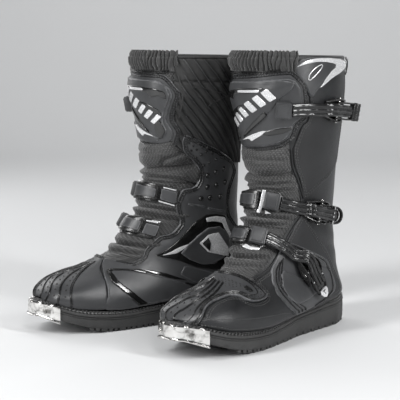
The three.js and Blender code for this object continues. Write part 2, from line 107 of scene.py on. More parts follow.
def skin(s, d, lift):
    return surface(s, d) + normal(s, d) * np.asarray(lift, float)[..., None]


# ---- Shapes: points and faces with two attributes that the materials read ----
class Shape:
    """rim is the distance to the nearest edge of its panel in mm; run is a place on the panel in mm."""

    def __init__(self):
        self.points, self.faces, self.looks, self.rim, self.run = [], [], [], [], []
        self.count = 0

    def add(self, points, faces, look=0, rim=None, run=None):
        points = np.asarray(points, float).reshape(-1, 3)
        n = len(points)
        self.points.append(points)
        self.faces.extend([tuple(int(k) + self.count for k in f) for f in faces])
        self.looks.extend([look] * len(faces))
        self.rim.append(np.full(n, 6.0) if rim is None else np.asarray(rim, float).ravel())
        self.run.append(points[:, :2] if run is None else np.asarray(run, float).reshape(-1, 2))
        self.count += n
        return self


def smooth_line(points, rounds=2, cut=0.22, closed=False):
    """Corners cut and cut again, so that a polygon turns into a rounded line."""
    p = np.asarray(points, float)
    for _ in range(rounds):
        q = np.roll(p, -1, axis=0) if closed else p[1:]
        r = p if closed else p[:-1]
        pairs = np.stack([r + cut * (q - r), q - cut * (q - r)], axis=1).reshape(-1, p.shape[1])
        p = pairs if closed else np.vstack([p[:1], pairs[1:-1], p[-1:]])
    return p


def dense(way, step, closed=False):
    """A way in stations and degrees with points no further apart than step mm."""
    way = np.asarray(way, float)
    nxt = np.roll(way, -1, axis=0) if closed else way[1:]
    here = way if closed else way[:-1]
    made = []
    for a, b in zip(here, nxt):
        length = np.linalg.norm(np.diff(surface(*np.linspace(a, b, 5).T), axis=0), axis=1).sum()
        k = max(1, int(math.ceil(length / step)))
        made.append(a + (b - a) * (np.arange(k) / k)[:, None])
    if not closed:
        made.append(way[-1:])
    return np.vstack(made)


def even_way(way, step, closed=False):
    """The same, with even spacing in mm."""
    fine = dense(way, step / 3, closed)
    if closed:
        fine = np.vstack([fine, fine[:1]])
    gone = np.concatenate([[0], np.cumsum(np.linalg.norm(np.diff(surface(*fine.T), axis=0), axis=1))])
    n = max(2, int(round(gone[-1] / step)))
    at = np.linspace(0, gone[-1], n + 1)[: -1 if closed else None]
    return np.stack([np.interp(at, gone, fine[:, k]) for k in (0, 1)], axis=1)


def gap_to(points, line, closed=True):
    """Distance in mm from each point to a polyline in space."""
    a = line if closed else line[:-1]
    b = np.roll(line, -1, axis=0) if closed else line[1:]
    best = np.full(len(points), 1e9)
    ab = b - a
    size = np.maximum((ab * ab).sum(1), 1e-9)
    for k in range(0, len(points), 2000):
        p = points[k : k + 2000, None, :]
        t = np.clip(((p - a) * ab).sum(2) / size, 0, 1)
        best[k : k + 2000] = np.linalg.norm(p - (a + t[..., None] * ab), axis=2).min(1)
    return best


def inside(points, outline):
    """Which 2-D points lie in a polygon."""
    x, y = points[:, 0], points[:, 1]
    result = np.zeros(len(points), bool)
    for (x0, y0), (x1, y1) in zip(outline, np.roll(outline, -1, axis=0)):
        if y0 == y1:
            continue
        crosses = (y0 > y) != (y1 > y)
        result ^= crosses & (x < (x1 - x0) * (y - y0) / (y1 - y0) + x0)
    return result


def nudge(way, shift):
    """Places moved by 3-D shifts along the surface."""
    s, d = way.T
    ds = (surface(s + 0.02, d) - surface(s - 0.02, d)) / 0.04
    dd = surface(s, d + 0.5) - surface(s, d - 0.5)
    a, b, c = (ds * ds).sum(1), (ds * dd).sum(1), (dd * dd).sum(1)
    e, f = (ds * shift).sum(1), (dd * shift).sum(1)
    det = np.maximum(a * c - b * b, 1e-9)
    return way + np.stack([(e * c - f * b) / det, (a * f - b * e) / det], axis=1)


def inward(way):
    """Unit vectors along the surface into a closed outline."""
    p = surface(*way.T)
    tangent = unit(np.roll(p, -1, axis=0) - np.roll(p, 1, axis=0))
    side = unit(np.cross(normal(*way.T), tangent))
    test = inside(nudge(way, side * 0.3), way)
    return side if test.mean() > 0.5 else -side


def plate(shape, outline, top, low, look=0, step=1.9, fillet=1.0, rounds=2, cut=0.22, relief=None):
    """A plate on the surface inside an outline of [station, degrees], with a rounded edge.
    top is its height in mm; relief adds to it, given stations, degrees and distance to the edge."""
    line = dense(smooth_line(outline, rounds, cut, True), step * 0.75, True)
    rim3 = surface(*line.T)
    side = inward(line)
    kept, gaps = [line], [np.zeros(len(line))]
    ring_at = [0.12 * fillet, 0.4 * fillet, fillet] if fillet > 0.3 else [0.3]
    for ring in ring_at:
        moved = nudge(line, side * ring)
        gap = gap_to(surface(*moved.T), rim3)
        good = (gap > 0.86 * ring) & inside(moved, line)
        kept.append(moved[good])
        gaps.append(gap[good])
    centre = line.mean(0)
    per_s = max(
        8.0,
        np.linalg.norm(surface(centre[0] + 0.05, centre[1]) - surface(centre[0] - 0.05, centre[1])) * 10
    )
    per_d = max(
        0.25, np.linalg.norm(surface(centre[0], centre[1] + 1) - surface(centre[0], centre[1] - 1)) / 2
    )
    low_s, low_d = line.min(0)
    high_s, high_d = line.max(0)
    rows = np.arange(low_s, high_s, step * 0.87 / per_s)
    grid = [
        np.stack([np.full(n.shape, s), n], axis=1)
        for k, s in enumerate(rows)
        for n in [np.arange(low_d + (k % 2) * 0.5 * step / per_d, high_d, step / per_d)]
    ]
    grid = np.vstack(grid) if grid else np.zeros((0, 2))
    grid = grid[inside(grid, line)]
    if len(grid):
        gap = gap_to(surface(*grid.T), rim3)
        good = gap > ring_at[-1] + 0.4 * step
        kept.append(grid[good])
        gaps.append(gap[good])
    way, gap = np.vstack(kept), np.concatenate(gaps)
    flat = [Vector((s * per_s, d * per_d)) for s, d in way]
    n = len(line)
    _, _, faces, origin, _, _ = delaunay_2d_cdt(flat, [], [list(range(n))], 1, 1e-5)
    first = [o[0] if o else -1 for o in origin]
    tris = [[first[k] for k in f] for f in faces]
    tris = np.array([t for t in tris if min(t) >= 0 and len(set(t)) == 3])
    a, b, c = (way[tris[:, k]] for k in range(3))
    turned = (b[:, 0] - a[:, 0]) * (c[:, 1] - a[:, 1]) - (b[:, 1] - a[:, 1]) * (c[:, 0] - a[:, 0]) < 0
    tris[turned] = tris[turned][:, ::-1]
    q = np.clip(gap / max(fillet, 1e-6), 0, 1)
    lift = top - fillet * (1 - np.sqrt(1 - (1 - q) ** 2))
    if relief is not None:
        lift = lift + relief(way[:, 0], way[:, 1], gap)
    upper = skin(way[:, 0], way[:, 1], lift)
    lower = skin(way[:, 0], way[:, 1], np.full(len(way), float(low)))
    m = len(way)
    faces = [tuple(t) for t in tris] + [tuple(t[::-1] + m) for t in tris]
    turn = 0.5 * np.sum(line[:, 0] * np.roll(line[:, 1], -1) - line[:, 1] * np.roll(line[:, 0], -1)) > 0
    for k in range(n):
        j = (k + 1) % n
        faces.append((k, k + m, j + m, j) if turn else (j, j + m, k + m, k))
    run = way * [per_s, per_d]
    shape.add(np.vstack([upper, lower]), faces, look, np.tile(gap, 2), np.vstack([run, run]))
    return line


def sweep(shape, path, ups, width, height, look=0, sides=10, power=2.0, closed=False, taper=True):
    """A bar along a path in mm; its section is a superellipse of that full width and height."""
    path, ups = np.asarray(path, float), np.asarray(ups, float)
    n = len(path)
    width = np.broadcast_to(np.asarray(width, float), (n,)) / 2
    height = np.broadcast_to(np.asarray(height, float), (n,)) / 2
    if closed:
        along = unit(np.roll(path, -1, axis=0) - np.roll(path, 1, axis=0))
    else:
        along = unit(np.gradient(path, axis=0))
    across = unit(np.cross(along, ups))
    up = np.cross(across, along)
    angle = np.linspace(0, 2 * np.pi, sides, endpoint=False) + np.pi / sides
    ca, sa = np.cos(angle), np.sin(angle)
    sx, sy = np.sign(ca) * np.abs(ca) ** (2 / power), np.sign(sa) * np.abs(sa) ** (2 / power)
    rings = path[:, None] + across[:, None] * (sx * width[:, None])[..., None] + up[:, None] * (
        sy * height[:, None]
    )[..., None]
    loops = n if closed else n - 1
    faces = []
    for i in range(loops):
        j = (i + 1) % n
        for k in range(sides):
            m = (k + 1) % sides
            faces.append((i * sides + k, i * sides + m, j * sides + m, j * sides + k))
    points = rings.reshape(-1, 3)
    if not closed:
        ends = []
        for i, sign in ((0, -1), (n - 1, 1)):
            bulge = min(width[i], height[i]) * (0.5 if taper else 0.02)
            inner = path[i] + along[i] * sign * bulge
            ring = path[i] + (rings[i] - path[i]) * (0.6 if taper else 0.98) + along[i] * sign * bulge * 0.8
            start = len(points) + sum(len(e) for e in ends)
            ends.append(np.vstack([ring, inner[None]]))
            base = i * sides
            for k in range(sides):
                m = (k + 1) % sides
                quad = (base + k, base + m, start + m, start + k)
                tip = (start + k, start + m, start + sides)
                faces.append(quad if sign > 0 else quad[::-1])
                faces.append(tip if sign > 0 else tip[::-1])
        points = np.vstack([points, *ends])
    shape.add(points, faces, look, rim=np.full(len(points), 3.0))
    return shape


def piping(
    shape, way, lift, width, height=None, look=0, closed=False, step=2.2, sides=8, rounds=2, cut=0.22,
    power=2.2
):
    line = even_way(smooth_line(way, rounds, cut, closed), step, closed)
    lifts = lift(line[:, 0], line[:, 1]) if callable(lift) else np.full(len(line), float(lift))
    sweep(
        shape, skin(line[:, 0], line[:, 1], lifts), normal(*line.T), width, height or width, look, sides,
        power, closed
    )


def offset_way(way, distance, rounds=2, cut=0.22):
    """A closed outline moved inwards by a distance in mm."""
    line = dense(smooth_line(way, rounds, cut, True), 1.5, True)
    moved = nudge(line, inward(line) * distance)
    gap = gap_to(surface(*moved.T), surface(*line.T))
    return moved[gap > 0.93 * abs(distance)]


def capsules(shape, centres, along, ups, length, radius, look=0, sides=6):
    """Small thread stitches, all in one go."""
    across = unit(np.cross(along, ups))
    up = np.cross(across, along)
    angle = np.linspace(0, 2 * np.pi, sides, endpoint=False)
    ring = across[:, None] * np.cos(angle)[None, :, None] + up[:, None] * np.sin(angle)[None, :, None]
    spans = [(-0.5, 0.25), (-0.36, 0.85), (0, 1.0), (0.36, 0.85), (0.5, 0.25)]
    loops = [centres[:, None] + along[:, None] * (t * length) + ring * (radius * r) for t, r in spans]
    points = np.stack(loops, axis=1).reshape(-1, 3)
    per = len(spans) * sides
    faces = []
    one = []
    for i in range(len(spans) - 1):
        for k in range(sides):
            m = (k + 1) % sides
            one.append((i * sides + k, i * sides + m, (i + 1) * sides + m, (i + 1) * sides + k))
    one.append(tuple(range(sides))[::-1])
    one.append(tuple(range(per - sides, per)))
    for c in range(len(centres)):
        faces += [tuple(k + c * per for k in f) for f in one]
    shape.add(points, faces, look)


def stitches(shape, way, lift, pitch=3.3, length=2.3, radius=0.42, closed=False, look=0, rounds=2, cut=0.22):
    line = even_way(smooth_line(way, rounds, cut, closed), pitch, closed)
    if len(line) < 3:
        return
    lifts = lift(line[:, 0], line[:, 1]) if callable(lift) else np.full(len(line), float(lift))
    points = skin(line[:, 0], line[:, 1], lifts)
    if closed:
        along = unit(np.roll(points, -1, axis=0) - np.roll(points, 1, axis=0))
    else:
        along = unit(np.gradient(points, axis=0))
    capsules(shape, points, along, normal(*line.T), length, radius, look)


def stud(shape, s, d, lift, radius, height=None, look=0, sides=14):
    """A moulded dome with a small foot."""
    origin, n = skin(np.array(s), np.array(d), np.array(lift)), normal(np.array(s), np.array(d))
    t = unit(np.cross(n, [0.0, 0.0, 1.0]))
    b = np.cross(n, t)
    height = height or radius * 0.8
    profile = [(1.32, -0.5), (1.22, 0.1), (1.02, 0.16), (0.96, 0.45), (0.8, 0.72), (0.52, 0.92), (0.2, 1.0)]
    angle = np.linspace(0, 2 * np.pi, sides, endpoint=False)
    loops = [
        origin + (np.outer(np.cos(angle), t) + np.outer(np.sin(angle), b)) * radius * r + n * height * h
        for r, h in profile
    ]
    rows = len(profile)
    faces = [
        (i * sides + k, i * sides + (k + 1) % sides, (i + 1) * sides + (k + 1) % sides, (i + 1) * sides + k)
        for i in range(rows - 1)
        for k in range(sides)
    ]
    faces.append(tuple(range((rows - 1) * sides, rows * sides)))
    faces.append(tuple(range(sides))[::-1])
    shape.add(np.vstack(loops), faces, look)


def sheet_panel(shape, edges, top, low, step_s=0.07, columns=90, look=0):
    """A layer of the upper over rows of [station, first degree, last degree], closed underneath.
    top and low are heights in mm, or functions of stations and degrees."""
    edges = np.array(edges, float)
    count = max(2, int(math.ceil((edges[-1, 0] - edges[0, 0]) / step_s)))
    s = np.linspace(edges[0, 0], edges[-1, 0], count + 1)
    first, last = np.interp(s, edges[:, 0], edges[:, 1]), np.interp(s, edges[:, 0], edges[:, 2])
    f = np.linspace(0, 1, columns + 1)
    S = np.repeat(s[:, None], columns + 1, 1)
    D = first[:, None] + (last - first)[:, None] * f
    value = lambda v: v(S, D) if callable(v) else np.full(S.shape, float(v))
    P = surface(S, D)
    run_d = np.concatenate(
        [np.zeros((len(s), 1)), np.cumsum(np.linalg.norm(np.diff(P, axis=1), axis=2), 1)], 1
    )
    run_s = np.concatenate(
        [np.zeros((1, columns + 1)), np.cumsum(np.linalg.norm(np.diff(P, axis=0), axis=2), 0)], 0
    )
    run_d = run_d - run_d[:, columns // 2][:, None]
    rim = np.minimum(run_d - run_d[:, :1], run_d[:, -1:] - run_d)
    upper, lower = skin(S, D, value(top)), skin(S, D, value(low))
    w, h = columns + 1, len(s)
    m = w * h
    faces = []
    for i in range(h - 1):
        for k in range(columns):
            a, b = i * w + k, (i + 1) * w + k
            faces.append((a, b, b + 1, a + 1))
            faces.append((a + m, a + 1 + m, b + 1 + m, b + m))
    for i in range(h - 1):
        a, b = i * w, (i + 1) * w
        faces.append((a, a + m, b + m, b))
        a, b = a + columns, b + columns
        faces.append((a, b, b + m, a + m))
    for k in range(columns):
        faces.append((k, k + 1, k + 1 + m, k + m))
        a = (h - 1) * w + k
        faces.append((a, a + m, a + 1 + m, a + 1))
    run = np.stack([run_s, run_d], axis=-1).reshape(-1, 2)
    shape.add(
        np.vstack([upper.reshape(-1, 3), lower.reshape(-1, 3)]),
        faces,
        look,
        np.tile(rim.ravel(), 2),
        np.vstack([run, run]),
    )


def prism(shape, profile, place, depth_from, depth_to, bevel=0.5, look=0, segments=2):
    """A bevelled solid of a profile. place turns [u, v, depth] in mm into points of the boot."""
    bm = bmesh.new()
    lower = [bm.verts.new((u, v, depth_from)) for u, v in profile]
    upper = [bm.verts.new((u, v, depth_to)) for u, v in profile]
    n = len(profile)
    bm.faces.new(lower[::-1])
    bm.faces.new(upper)
    for k in range(n):
        j = (k + 1) % n
        bm.faces.new((lower[k], lower[j], upper[j], upper[k]))
    bmesh.ops.recalc_face_normals(bm, faces=bm.faces)
    if bevel:
        bmesh.ops.bevel(
            bm, geom=list(bm.edges), offset=bevel, segments=segments, profile=0.6, affect="EDGES",
            clamp_overlap=True
        )
    bmesh.ops.recalc_face_normals(bm, faces=bm.faces)
    bm.verts.index_update()
    points = np.array([v.co for v in bm.verts], float)
    faces = [tuple(v.index for v in f.verts) for f in bm.faces]
    bm.free()
    moved = place(points)
    # keep the faces facing out whatever hand the placing frame has
    a = place(np.array([[0, 0, 0], [1, 0, 0], [0, 1, 0], [0, 0, 1]], float))
    if np.dot(np.cross(a[1] - a[0], a[2] - a[0]), a[3] - a[0]) < 0:
        faces = [f[::-1] for f in faces]
    shape.add(moved, faces, look)


# ---- Placing a shape for both boots ----
def placed(points, side):
    p = np.array(points, float)
    yaw = TOE_OUT if side == "left" else -TOE_OUT
    if side == "right":
        p[:, 0] *= -1
    x = p[:, 0] * math.cos(yaw) - p[:, 1] * math.sin(yaw)
    y = p[:, 0] * math.sin(yaw) + p[:, 1] * math.cos(yaw)
    shift = (STANCE_X, STANCE_Y + PAIR_CENTRE_Y) if side == "left" else (-STANCE_X, -STANCE_Y + PAIR_CENTRE_Y)
    return np.stack([x + shift[0], y + shift[1], p[:, 2]], axis=1) * MM


def place_pair(name, shape, materials, nodes=(), body="boot", sharp=35):
    """Makes SIDE_name for both boots; it stands for the CAD nodes SIDE_node and rides on SIDE_body."""
    made = []
    points = np.vstack(shape.points)
    for side in ("left", "right"):
        mesh = bpy.data.meshes.new(f"{side}_{name}_skin")
        faces = shape.faces if side == "left" else [f[::-1] for f in shape.faces]
        mesh.from_pydata(placed(points, side), [], faces)
        for key, kind, data in (
            ("rim", "FLOAT", np.concatenate(shape.rim)),
            ("run", "FLOAT_VECTOR", np.pad(np.vstack(shape.run), ((0, 0), (0, 1)))),
        ):
            attribute = mesh.attributes.new(key, kind, "POINT")
            attribute.data.foreach_set(
                "value" if kind == "FLOAT" else "vector", (data * MM).astype(np.float32).ravel()
            )
        for material in materials:
            mesh.materials.append(material)
        mesh.polygons.foreach_set("material_index", np.array(shape.looks, np.int32))
        mesh.polygons.foreach_set("use_smooth", np.ones(len(mesh.polygons), bool))
        mesh.update()
        mesh.set_sharp_from_angle(angle=math.radians(sharp))
        obj = bpy.data.objects.new(f"{side}_{name}", mesh)
        bpy.context.scene.collection.objects.link(obj)
        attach(obj, f"{side}_{body}")
        if nodes:
            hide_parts(*[f"{side}_{n}" for n in nodes])
        made.append(obj)
    return made


# ---- Materials ----
def new_material(name, base, rough, metallic=0.0, **sockets):
    material = bpy.data.materials.new(name)
    material.use_nodes = True
    tree = material.node_tree
    shader = tree.nodes["Principled BSDF"]
    shader.inputs["Base Color"].default_value = (*base, 1)
    shader.inputs["Roughness"].default_value = rough
    shader.inputs["Metallic"].default_value = metallic
    for socket, value in sockets.items():
        shader.inputs[socket.replace("_", " ")].default_value = value
    return material, tree, shader


def node(tree, kind, **values):
    made = tree.nodes.new("ShaderNode" + kind)
    for key, value in values.items():
        if key in made.inputs:
            made.inputs[key].default_value = value
        else:
            setattr(made, key, value)
    return made


def place_of(tree, source="Object"):
    """Object space, so that a pattern keeps its scale and stays on its piece."""
    if source == "run":
        return node(tree, "Attribute", attribute_name="run").outputs["Vector"]
    return node(tree, "TexCoord").outputs["Object"]


def noise_of(tree, where, scale, detail=3.0, roughness=0.55, distortion=0.0):
    made = node(tree, "TexNoise")
    made.inputs["Scale"].default_value = scale
    made.inputs["Detail"].default_value = detail
    made.inputs["Roughness"].default_value = roughness
    made.inputs["Distortion"].default_value = distortion
    tree.links.new(where, made.inputs["Vector"])
    return made.outputs["Fac"]


def cells_of(tree, where, scale, feature="F1", output="Distance"):
    made = node(tree, "TexVoronoi")
    made.feature = feature
    made.inputs["Scale"].default_value = scale
    tree.links.new(where, made.inputs["Vector"])
    return made.outputs[output]


def waves_of(tree, where, scale, direction="X", distortion=0.0, turn=0.0):
    if turn:
        mapping = node(tree, "Mapping")
        mapping.inputs["Rotation"].default_value = (0, 0, turn)
        tree.links.new(where, mapping.inputs["Vector"])
        where = mapping.outputs["Vector"]
    made = node(tree, "TexWave")
    made.bands_direction = direction
    made.inputs["Scale"].default_value = scale
    made.inputs["Distortion"].default_value = distortion
    tree.links.new(where, made.inputs["Vector"])
    return made.outputs["Fac"]


def sum_of(tree, operation, a, b):
    made = node(tree, "Math", operation=operation)
    for socket, value in zip(made.inputs, (a, b)):
        if isinstance(value, (int, float)):
            socket.default_value = value
        else:
            tree.links.new(value, socket)
    return made.outputs[0]


def ramp_of(tree, value, low, high, to_low=0.0, to_high=1.0):
    made = node(tree, "MapRange")
    for socket, number in zip(("From Min", "From Max", "To Min", "To Max"), (low, high, to_low, to_high)):
        made.inputs[socket].default_value = number
    tree.links.new(value, made.inputs["Value"])
    return made.outputs["Result"]


def tint(tree, shader, value, dark, light):
    ramp = node(tree, "ValToRGB")
    ramp.color_ramp.elements[0].color = (*dark, 1)
    ramp.color_ramp.elements[1].color = (*light, 1)
    tree.links.new(value, ramp.inputs["Fac"])
    tree.links.new(ramp.outputs["Color"], shader.inputs["Base Color"])


def bump(tree, shader, height, distance, strength=1.0):
    made = node(tree, "Bump")
    made.inputs["Strength"].default_value = strength
    made.inputs["Distance"].default_value = distance
    tree.links.new(height, made.inputs["Height"])
    tree.links.new(made.outputs["Normal"], shader.inputs["Normal"])


def rough_by(tree, shader, value, low, high):
    tree.links.new(ramp_of(tree, value, 0.3, 0.7, low, high), shader.inputs["Roughness"])


def rim_wear_and_highlight(tree, value, width=0.0012, amount=0.5):
    """Adds a lighter line along the edges of a panel to a 0..1 value; the line is partly wear and partly a
    painted highlight on the edges.
    """
    rim = node(tree, "Attribute", attribute_name="rim").outputs["Fac"]
    edge_wear_and_highlight = ramp_of(tree, rim, 0.0, width, amount, 0.0)
    grit = noise_of(tree, place_of(tree), 260, 4)
    edge_wear_and_highlight = sum_of(tree, "MULTIPLY", edge_wear_and_highlight, ramp_of(tree, grit, 0.35, 0.65))
    return sum_of(tree, "ADD", value, edge_wear_and_highlight)


def grey(v, cool=0.0):
    return (v, v * (1 + 0.3 * cool), v * (1 + cool))


# Smooth leather: fine pores, long soft creases, a dry sheen and rubbed places.
leather, tree, shader = new_material("smooth_leather", grey(0.03), 0.46, Specular_IOR_Level=0.42)
where = place_of(tree)
pores = cells_of(tree, where, 900)
crease = noise_of(tree, where, 60, 6, 0.6, 0.4)
cloud = noise_of(tree, where, 22, 4)
tint(tree, shader, ramp_of(tree, cloud, 0.3, 0.7), grey(0.007, 0.1), grey(0.015, 0.14))
rough_by(tree, shader, noise_of(tree, where, 45, 5), 0.32, 0.46)
bump(tree, shader, sum_of(tree, "ADD", sum_of(tree, "MULTIPLY", pores, 0.5), crease), 0.0007, 0.5)

# Embossed flex leather: small pointed scales in crossed rows over a soft cloudy relief.
flex, tree, shader = new_material(
    "embossed_flex_leather", grey(0.022), 0.75, Sheen_Weight=0.25, Sheen_Roughness=0.5
)
where = place_of(tree, "run")
first = waves_of(tree, where, 110, "X", 1.2, math.radians(52))
second = waves_of(tree, where, 110, "X", 1.2, math.radians(-52))
scales = sum_of(tree, "MULTIPLY", first, second)
fuzz = noise_of(tree, place_of(tree), 380, 5, 0.65)
cloud = noise_of(tree, place_of(tree), 48, 4)
mixed = sum_of(tree, "ADD", sum_of(tree, "MULTIPLY", scales, 0.75), sum_of(tree, "MULTIPLY", cloud, 0.55))
tint(tree, shader, ramp_of(tree, mixed, 0.2, 1.0), grey(0.005), grey(0.05))
rough_by(tree, shader, cloud, 0.42, 0.7)
bump(tree, shader, sum_of(tree, "ADD", scales, sum_of(tree, "MULTIPLY", fuzz, 0.5)), 0.001, 0.65)

# Ribbed rubberised textile of the calf: dead matt with a fine mesh.
ribbed, tree, shader = new_material("ribbed_rubber_textile", grey(0.02), 0.82)
where = place_of(tree, "run")
mesh_a = waves_of(tree, where, 330, "X", 0.2)
mesh_b = waves_of(tree, where, 330, "Y", 0.2)
knit = sum_of(tree, "MULTIPLY", mesh_a, mesh_b)
dust = noise_of(tree, place_of(tree), 35, 5)
tint(
    tree, shader, ramp_of(tree, sum_of(tree, "ADD", dust, sum_of(tree, "MULTIPLY", knit, 0.3)), 0.3, 1.0),
    grey(0.012), grey(0.034)
)
bump(tree, shader, knit, 0.0004, 0.6)

# Injection-moulded shells: spark-eroded grain, and paler rims that are partly wear and partly a painted
# highlight along the edges.
moulded, tree, shader = new_material("moulded_satin_plastic", grey(0.034), 0.42, Specular_IOR_Level=0.4)
where = place_of(tree)
grain = noise_of(tree, where, 1500, 2)
cloud = noise_of(tree, where, 28, 5)
tint(
    tree, shader, rim_wear_and_highlight(tree, ramp_of(tree, cloud, 0.25, 0.8, 0, 0.22), 0.001, 1.0), grey(0.027, 0.08),
    grey(0.14, 0.06)
)
rough_by(tree, shader, cloud, 0.3, 0.42)
bump(tree, shader, grain, 0.0003, 0.35)

# Raised cords, ridges and studs of the mouldings, polished by wear.
ridge_look, tree, shader = new_material("polished_moulded_ridge", grey(0.008), 0.26)
where = place_of(tree)
cloud = noise_of(tree, where, 110, 5)
tint(tree, shader, cloud, grey(0.003), grey(0.011, 0.05))
rough_by(tree, shader, noise_of(tree, where, 300, 4), 0.2, 0.34)
bump(tree, shader, noise_of(tree, where, 1100, 2), 0.0002, 0.25)

# Gloss inserts, with hair scratches.
gloss, tree, shader = new_material(
    "gloss_black_plastic", grey(0.008), 0.1, Coat_Weight=0.6, Coat_Roughness=0.06
)
where = place_of(tree)
mapping = node(tree, "Mapping")
mapping.inputs["Scale"].default_value = (1, 14, 1.5)
tree.links.new(where, mapping.inputs["Vector"])
scratch = noise_of(tree, mapping.outputs["Vector"], 120, 6, 0.7)
tree.links.new(ramp_of(tree, scratch, 0.45, 0.75, 0.07, 0.3), shader.inputs["Roughness"])
tint(tree, shader, noise_of(tree, where, 40, 3), grey(0.002), grey(0.007))
bump(tree, shader, scratch, 0.0002, 0.12)

# Glass-filled nylon of the buckles, with a faint paler line at the edges that is partly wear and partly a
# painted highlight.
nylon, tree, shader = new_material("buckle_nylon", grey(0.016), 0.3)
where = place_of(tree)
cloud = noise_of(tree, where, 90, 5)
tint(tree, shader, rim_wear_and_highlight(tree, cloud, 0.0008, 0.4), grey(0.006), grey(0.02))
rough_by(tree, shader, noise_of(tree, where, 240, 4), 0.18, 0.34)
bump(tree, shader, noise_of(tree, where, 1300, 2), 0.00025, 0.3)

# Straps: a little paler, with a moulded shine on the rails.
strap_look, tree, shader = new_material("strap_polyurethane", grey(0.03), 0.26)
where = place_of(tree)
cloud = noise_of(tree, where, 70, 4)
tint(tree, shader, cloud, grey(0.006), grey(0.02, 0.05))
rough_by(tree, shader, noise_of(tree, where, 160, 4), 0.12, 0.24)
bump(tree, shader, noise_of(tree, where, 700, 3), 0.0002, 0.25)

# Gathered elastic textile of the collar.
collar_look, tree, shader = new_material(
    "gathered_textile", grey(0.02), 0.8, Sheen_Weight=0.4, Sheen_Roughness=0.4
)
where = place_of(tree, "run")
warp = waves_of(tree, where, 260, "X", 0.8)
weft = waves_of(tree, where, 200, "Y", 0.8)
cloth = sum_of(tree, "MULTIPLY", warp, weft)
cloud = noise_of(tree, place_of(tree), 120, 4)
tint(
    tree, shader, ramp_of(tree, sum_of(tree, "ADD", cloud, sum_of(tree, "MULTIPLY", cloth, 0.4)), 0.3, 1.1),
    grey(0.012), grey(0.05)
)
bump(tree, shader, sum_of(tree, "ADD", cloth, cloud), 0.0006, 0.6)

# Spacer-mesh lining.
lining_look, tree, shader = new_material("mesh_lining", grey(0.02), 0.9)
where = place_of(tree)
holes = cells_of(tree, where, 420)
tint(tree, shader, ramp_of(tree, holes, 0.1, 0.6), grey(0.006), grey(0.035))
bump(tree, shader, holes, 0.0007, 0.6)

# Footbed foam cover.
foam_look, tree, shader = new_material("footbed_textile", grey(0.05), 0.9)
where = place_of(tree)
weave = sum_of(tree, "MULTIPLY", waves_of(tree, where, 240, "X", 0.5), waves_of(tree, where, 240, "Y", 0.5))
tint(tree, shader, weave, grey(0.02), grey(0.07))
bump(tree, shader, weave, 0.0005, 0.5)

# Sole rubber: matt, a little dusty, with flow marks.
rubber, tree, shader = new_material("sole_rubber", grey(0.02), 0.66)
where = place_of(tree)
dust = noise_of(tree, where, 30, 7, 0.65)
grit = noise_of(tree, where, 500, 4)
tint(
    tree, shader, ramp_of(tree, sum_of(tree, "ADD", dust, sum_of(tree, "MULTIPLY", grit, 0.4)), 0.45, 1.0),
    grey(0.014), grey(0.045)
)
rough_by(tree, shader, dust, 0.52, 0.8)
bump(tree, shader, grit, 0.0005, 0.5)

# Waxed thread of the seams and the welt.
thread, tree, shader = new_material("waxed_thread", grey(0.03), 0.34)
where = place_of(tree)
twist = waves_of(tree, where, 520, "DIAGONAL", 1.2)
tint(tree, shader, twist, grey(0.014), grey(0.09))
bump(tree, shader, twist, 0.0003, 0.6)

# Polished steel: scuffs, small dents and brown-grey dirt.
steel, tree, shader = new_material("scuffed_steel", (0.78, 0.77, 0.75), 0.16, 1.0)
where = place_of(tree)
mapping = node(tree, "Mapping")
mapping.inputs["Scale"].default_value = (1, 1, 5)
tree.links.new(where, mapping.inputs["Vector"])
scuff = noise_of(tree, mapping.outputs["Vector"], 160, 8, 0.75, 1.0)
dirt = noise_of(tree, where, 60, 6, 0.7)
tint(tree, shader, ramp_of(tree, dirt, 0.4, 0.52), (0.2, 0.195, 0.185), (0.84, 0.83, 0.81))
tree.links.new(ramp_of(tree, scuff, 0.45, 0.75, 0.07, 0.38), shader.inputs["Roughness"])
bump(tree, shader, sum_of(tree, "ADD", scuff, dirt), 0.0006, 0.35)

# Silver print under gloss.
silver, tree, shader = new_material(
    "silver_print", (0.7, 0.71, 0.72), 0.22, 0.35, Coat_Weight=0.5, Coat_Roughness=0.08
)
where = place_of(tree)
fleck = noise_of(tree, where, 900, 3)
sweepy = noise_of(tree, where, 25, 3)
tint(tree, shader, sweepy, (0.38, 0.385, 0.39), (0.8, 0.8, 0.81))
tree.links.new(ramp_of(tree, fleck, 0.35, 0.7, 0.16, 0.34), shader.inputs["Roughness"])
bump(tree, shader, fleck, 0.0001, 0.2)


# ---- The upper ----
# edges of the flex panel: station, then the degrees of its medial and its lateral edge
MEDIAL_EDGE, LATERAL_EDGE = 1, 2
FRONT_EDGES = np.array(
    [
        [0.5, -52, 46],
        [2.1, -52, 47],
        [3.0, -52, 42],
        [3.25, -60, 44],
        [3.6, -84, 46],
        [4.1, -84, 55],
        [4.8, -84, 64],
        [5.35, -80, 64],
        [5.9, -76, 55],
        [6.5, -68, 48],
        [7.3, -56, 42],
        [8.2, -44, 37],
        [8.6, -38, 34],
        [8.8, -30, 33],
    ],
    float,
)


def front_edge(s, column):
    return np.interp(s, FRONT_EDGES[:, 0], FRONT_EDGES[:, column])


def ease(x, low, high):
    t = np.clip((x - low) / (high - low), 0, 1)
    return t * t * (3 - 2 * t)


def noise3(points, scale, seed=0.0):
    """Smooth noise from -1 to 1 at points in mm."""
    flat = np.asarray(points, float).reshape(-1, 3) * scale + seed
    made = np.array([noise.noise(Vector(p)) for p in flat])
    return made.reshape(np.asarray(points).shape[:-1])


def dip(s, d, ways, depth, width):
    """How far creases along ways reach down at each place, in mm."""
    points = surface(s, d).reshape(-1, 3)
    total = np.zeros(len(points))
    for way, share in ways:
        line = surface(*dense(smooth_line(way, 2), 2.0).T)
        total = np.maximum(total, share * np.exp(-((gap_to(points, line, False) / width) ** 2)))
    return (depth * total).reshape(np.shape(s))


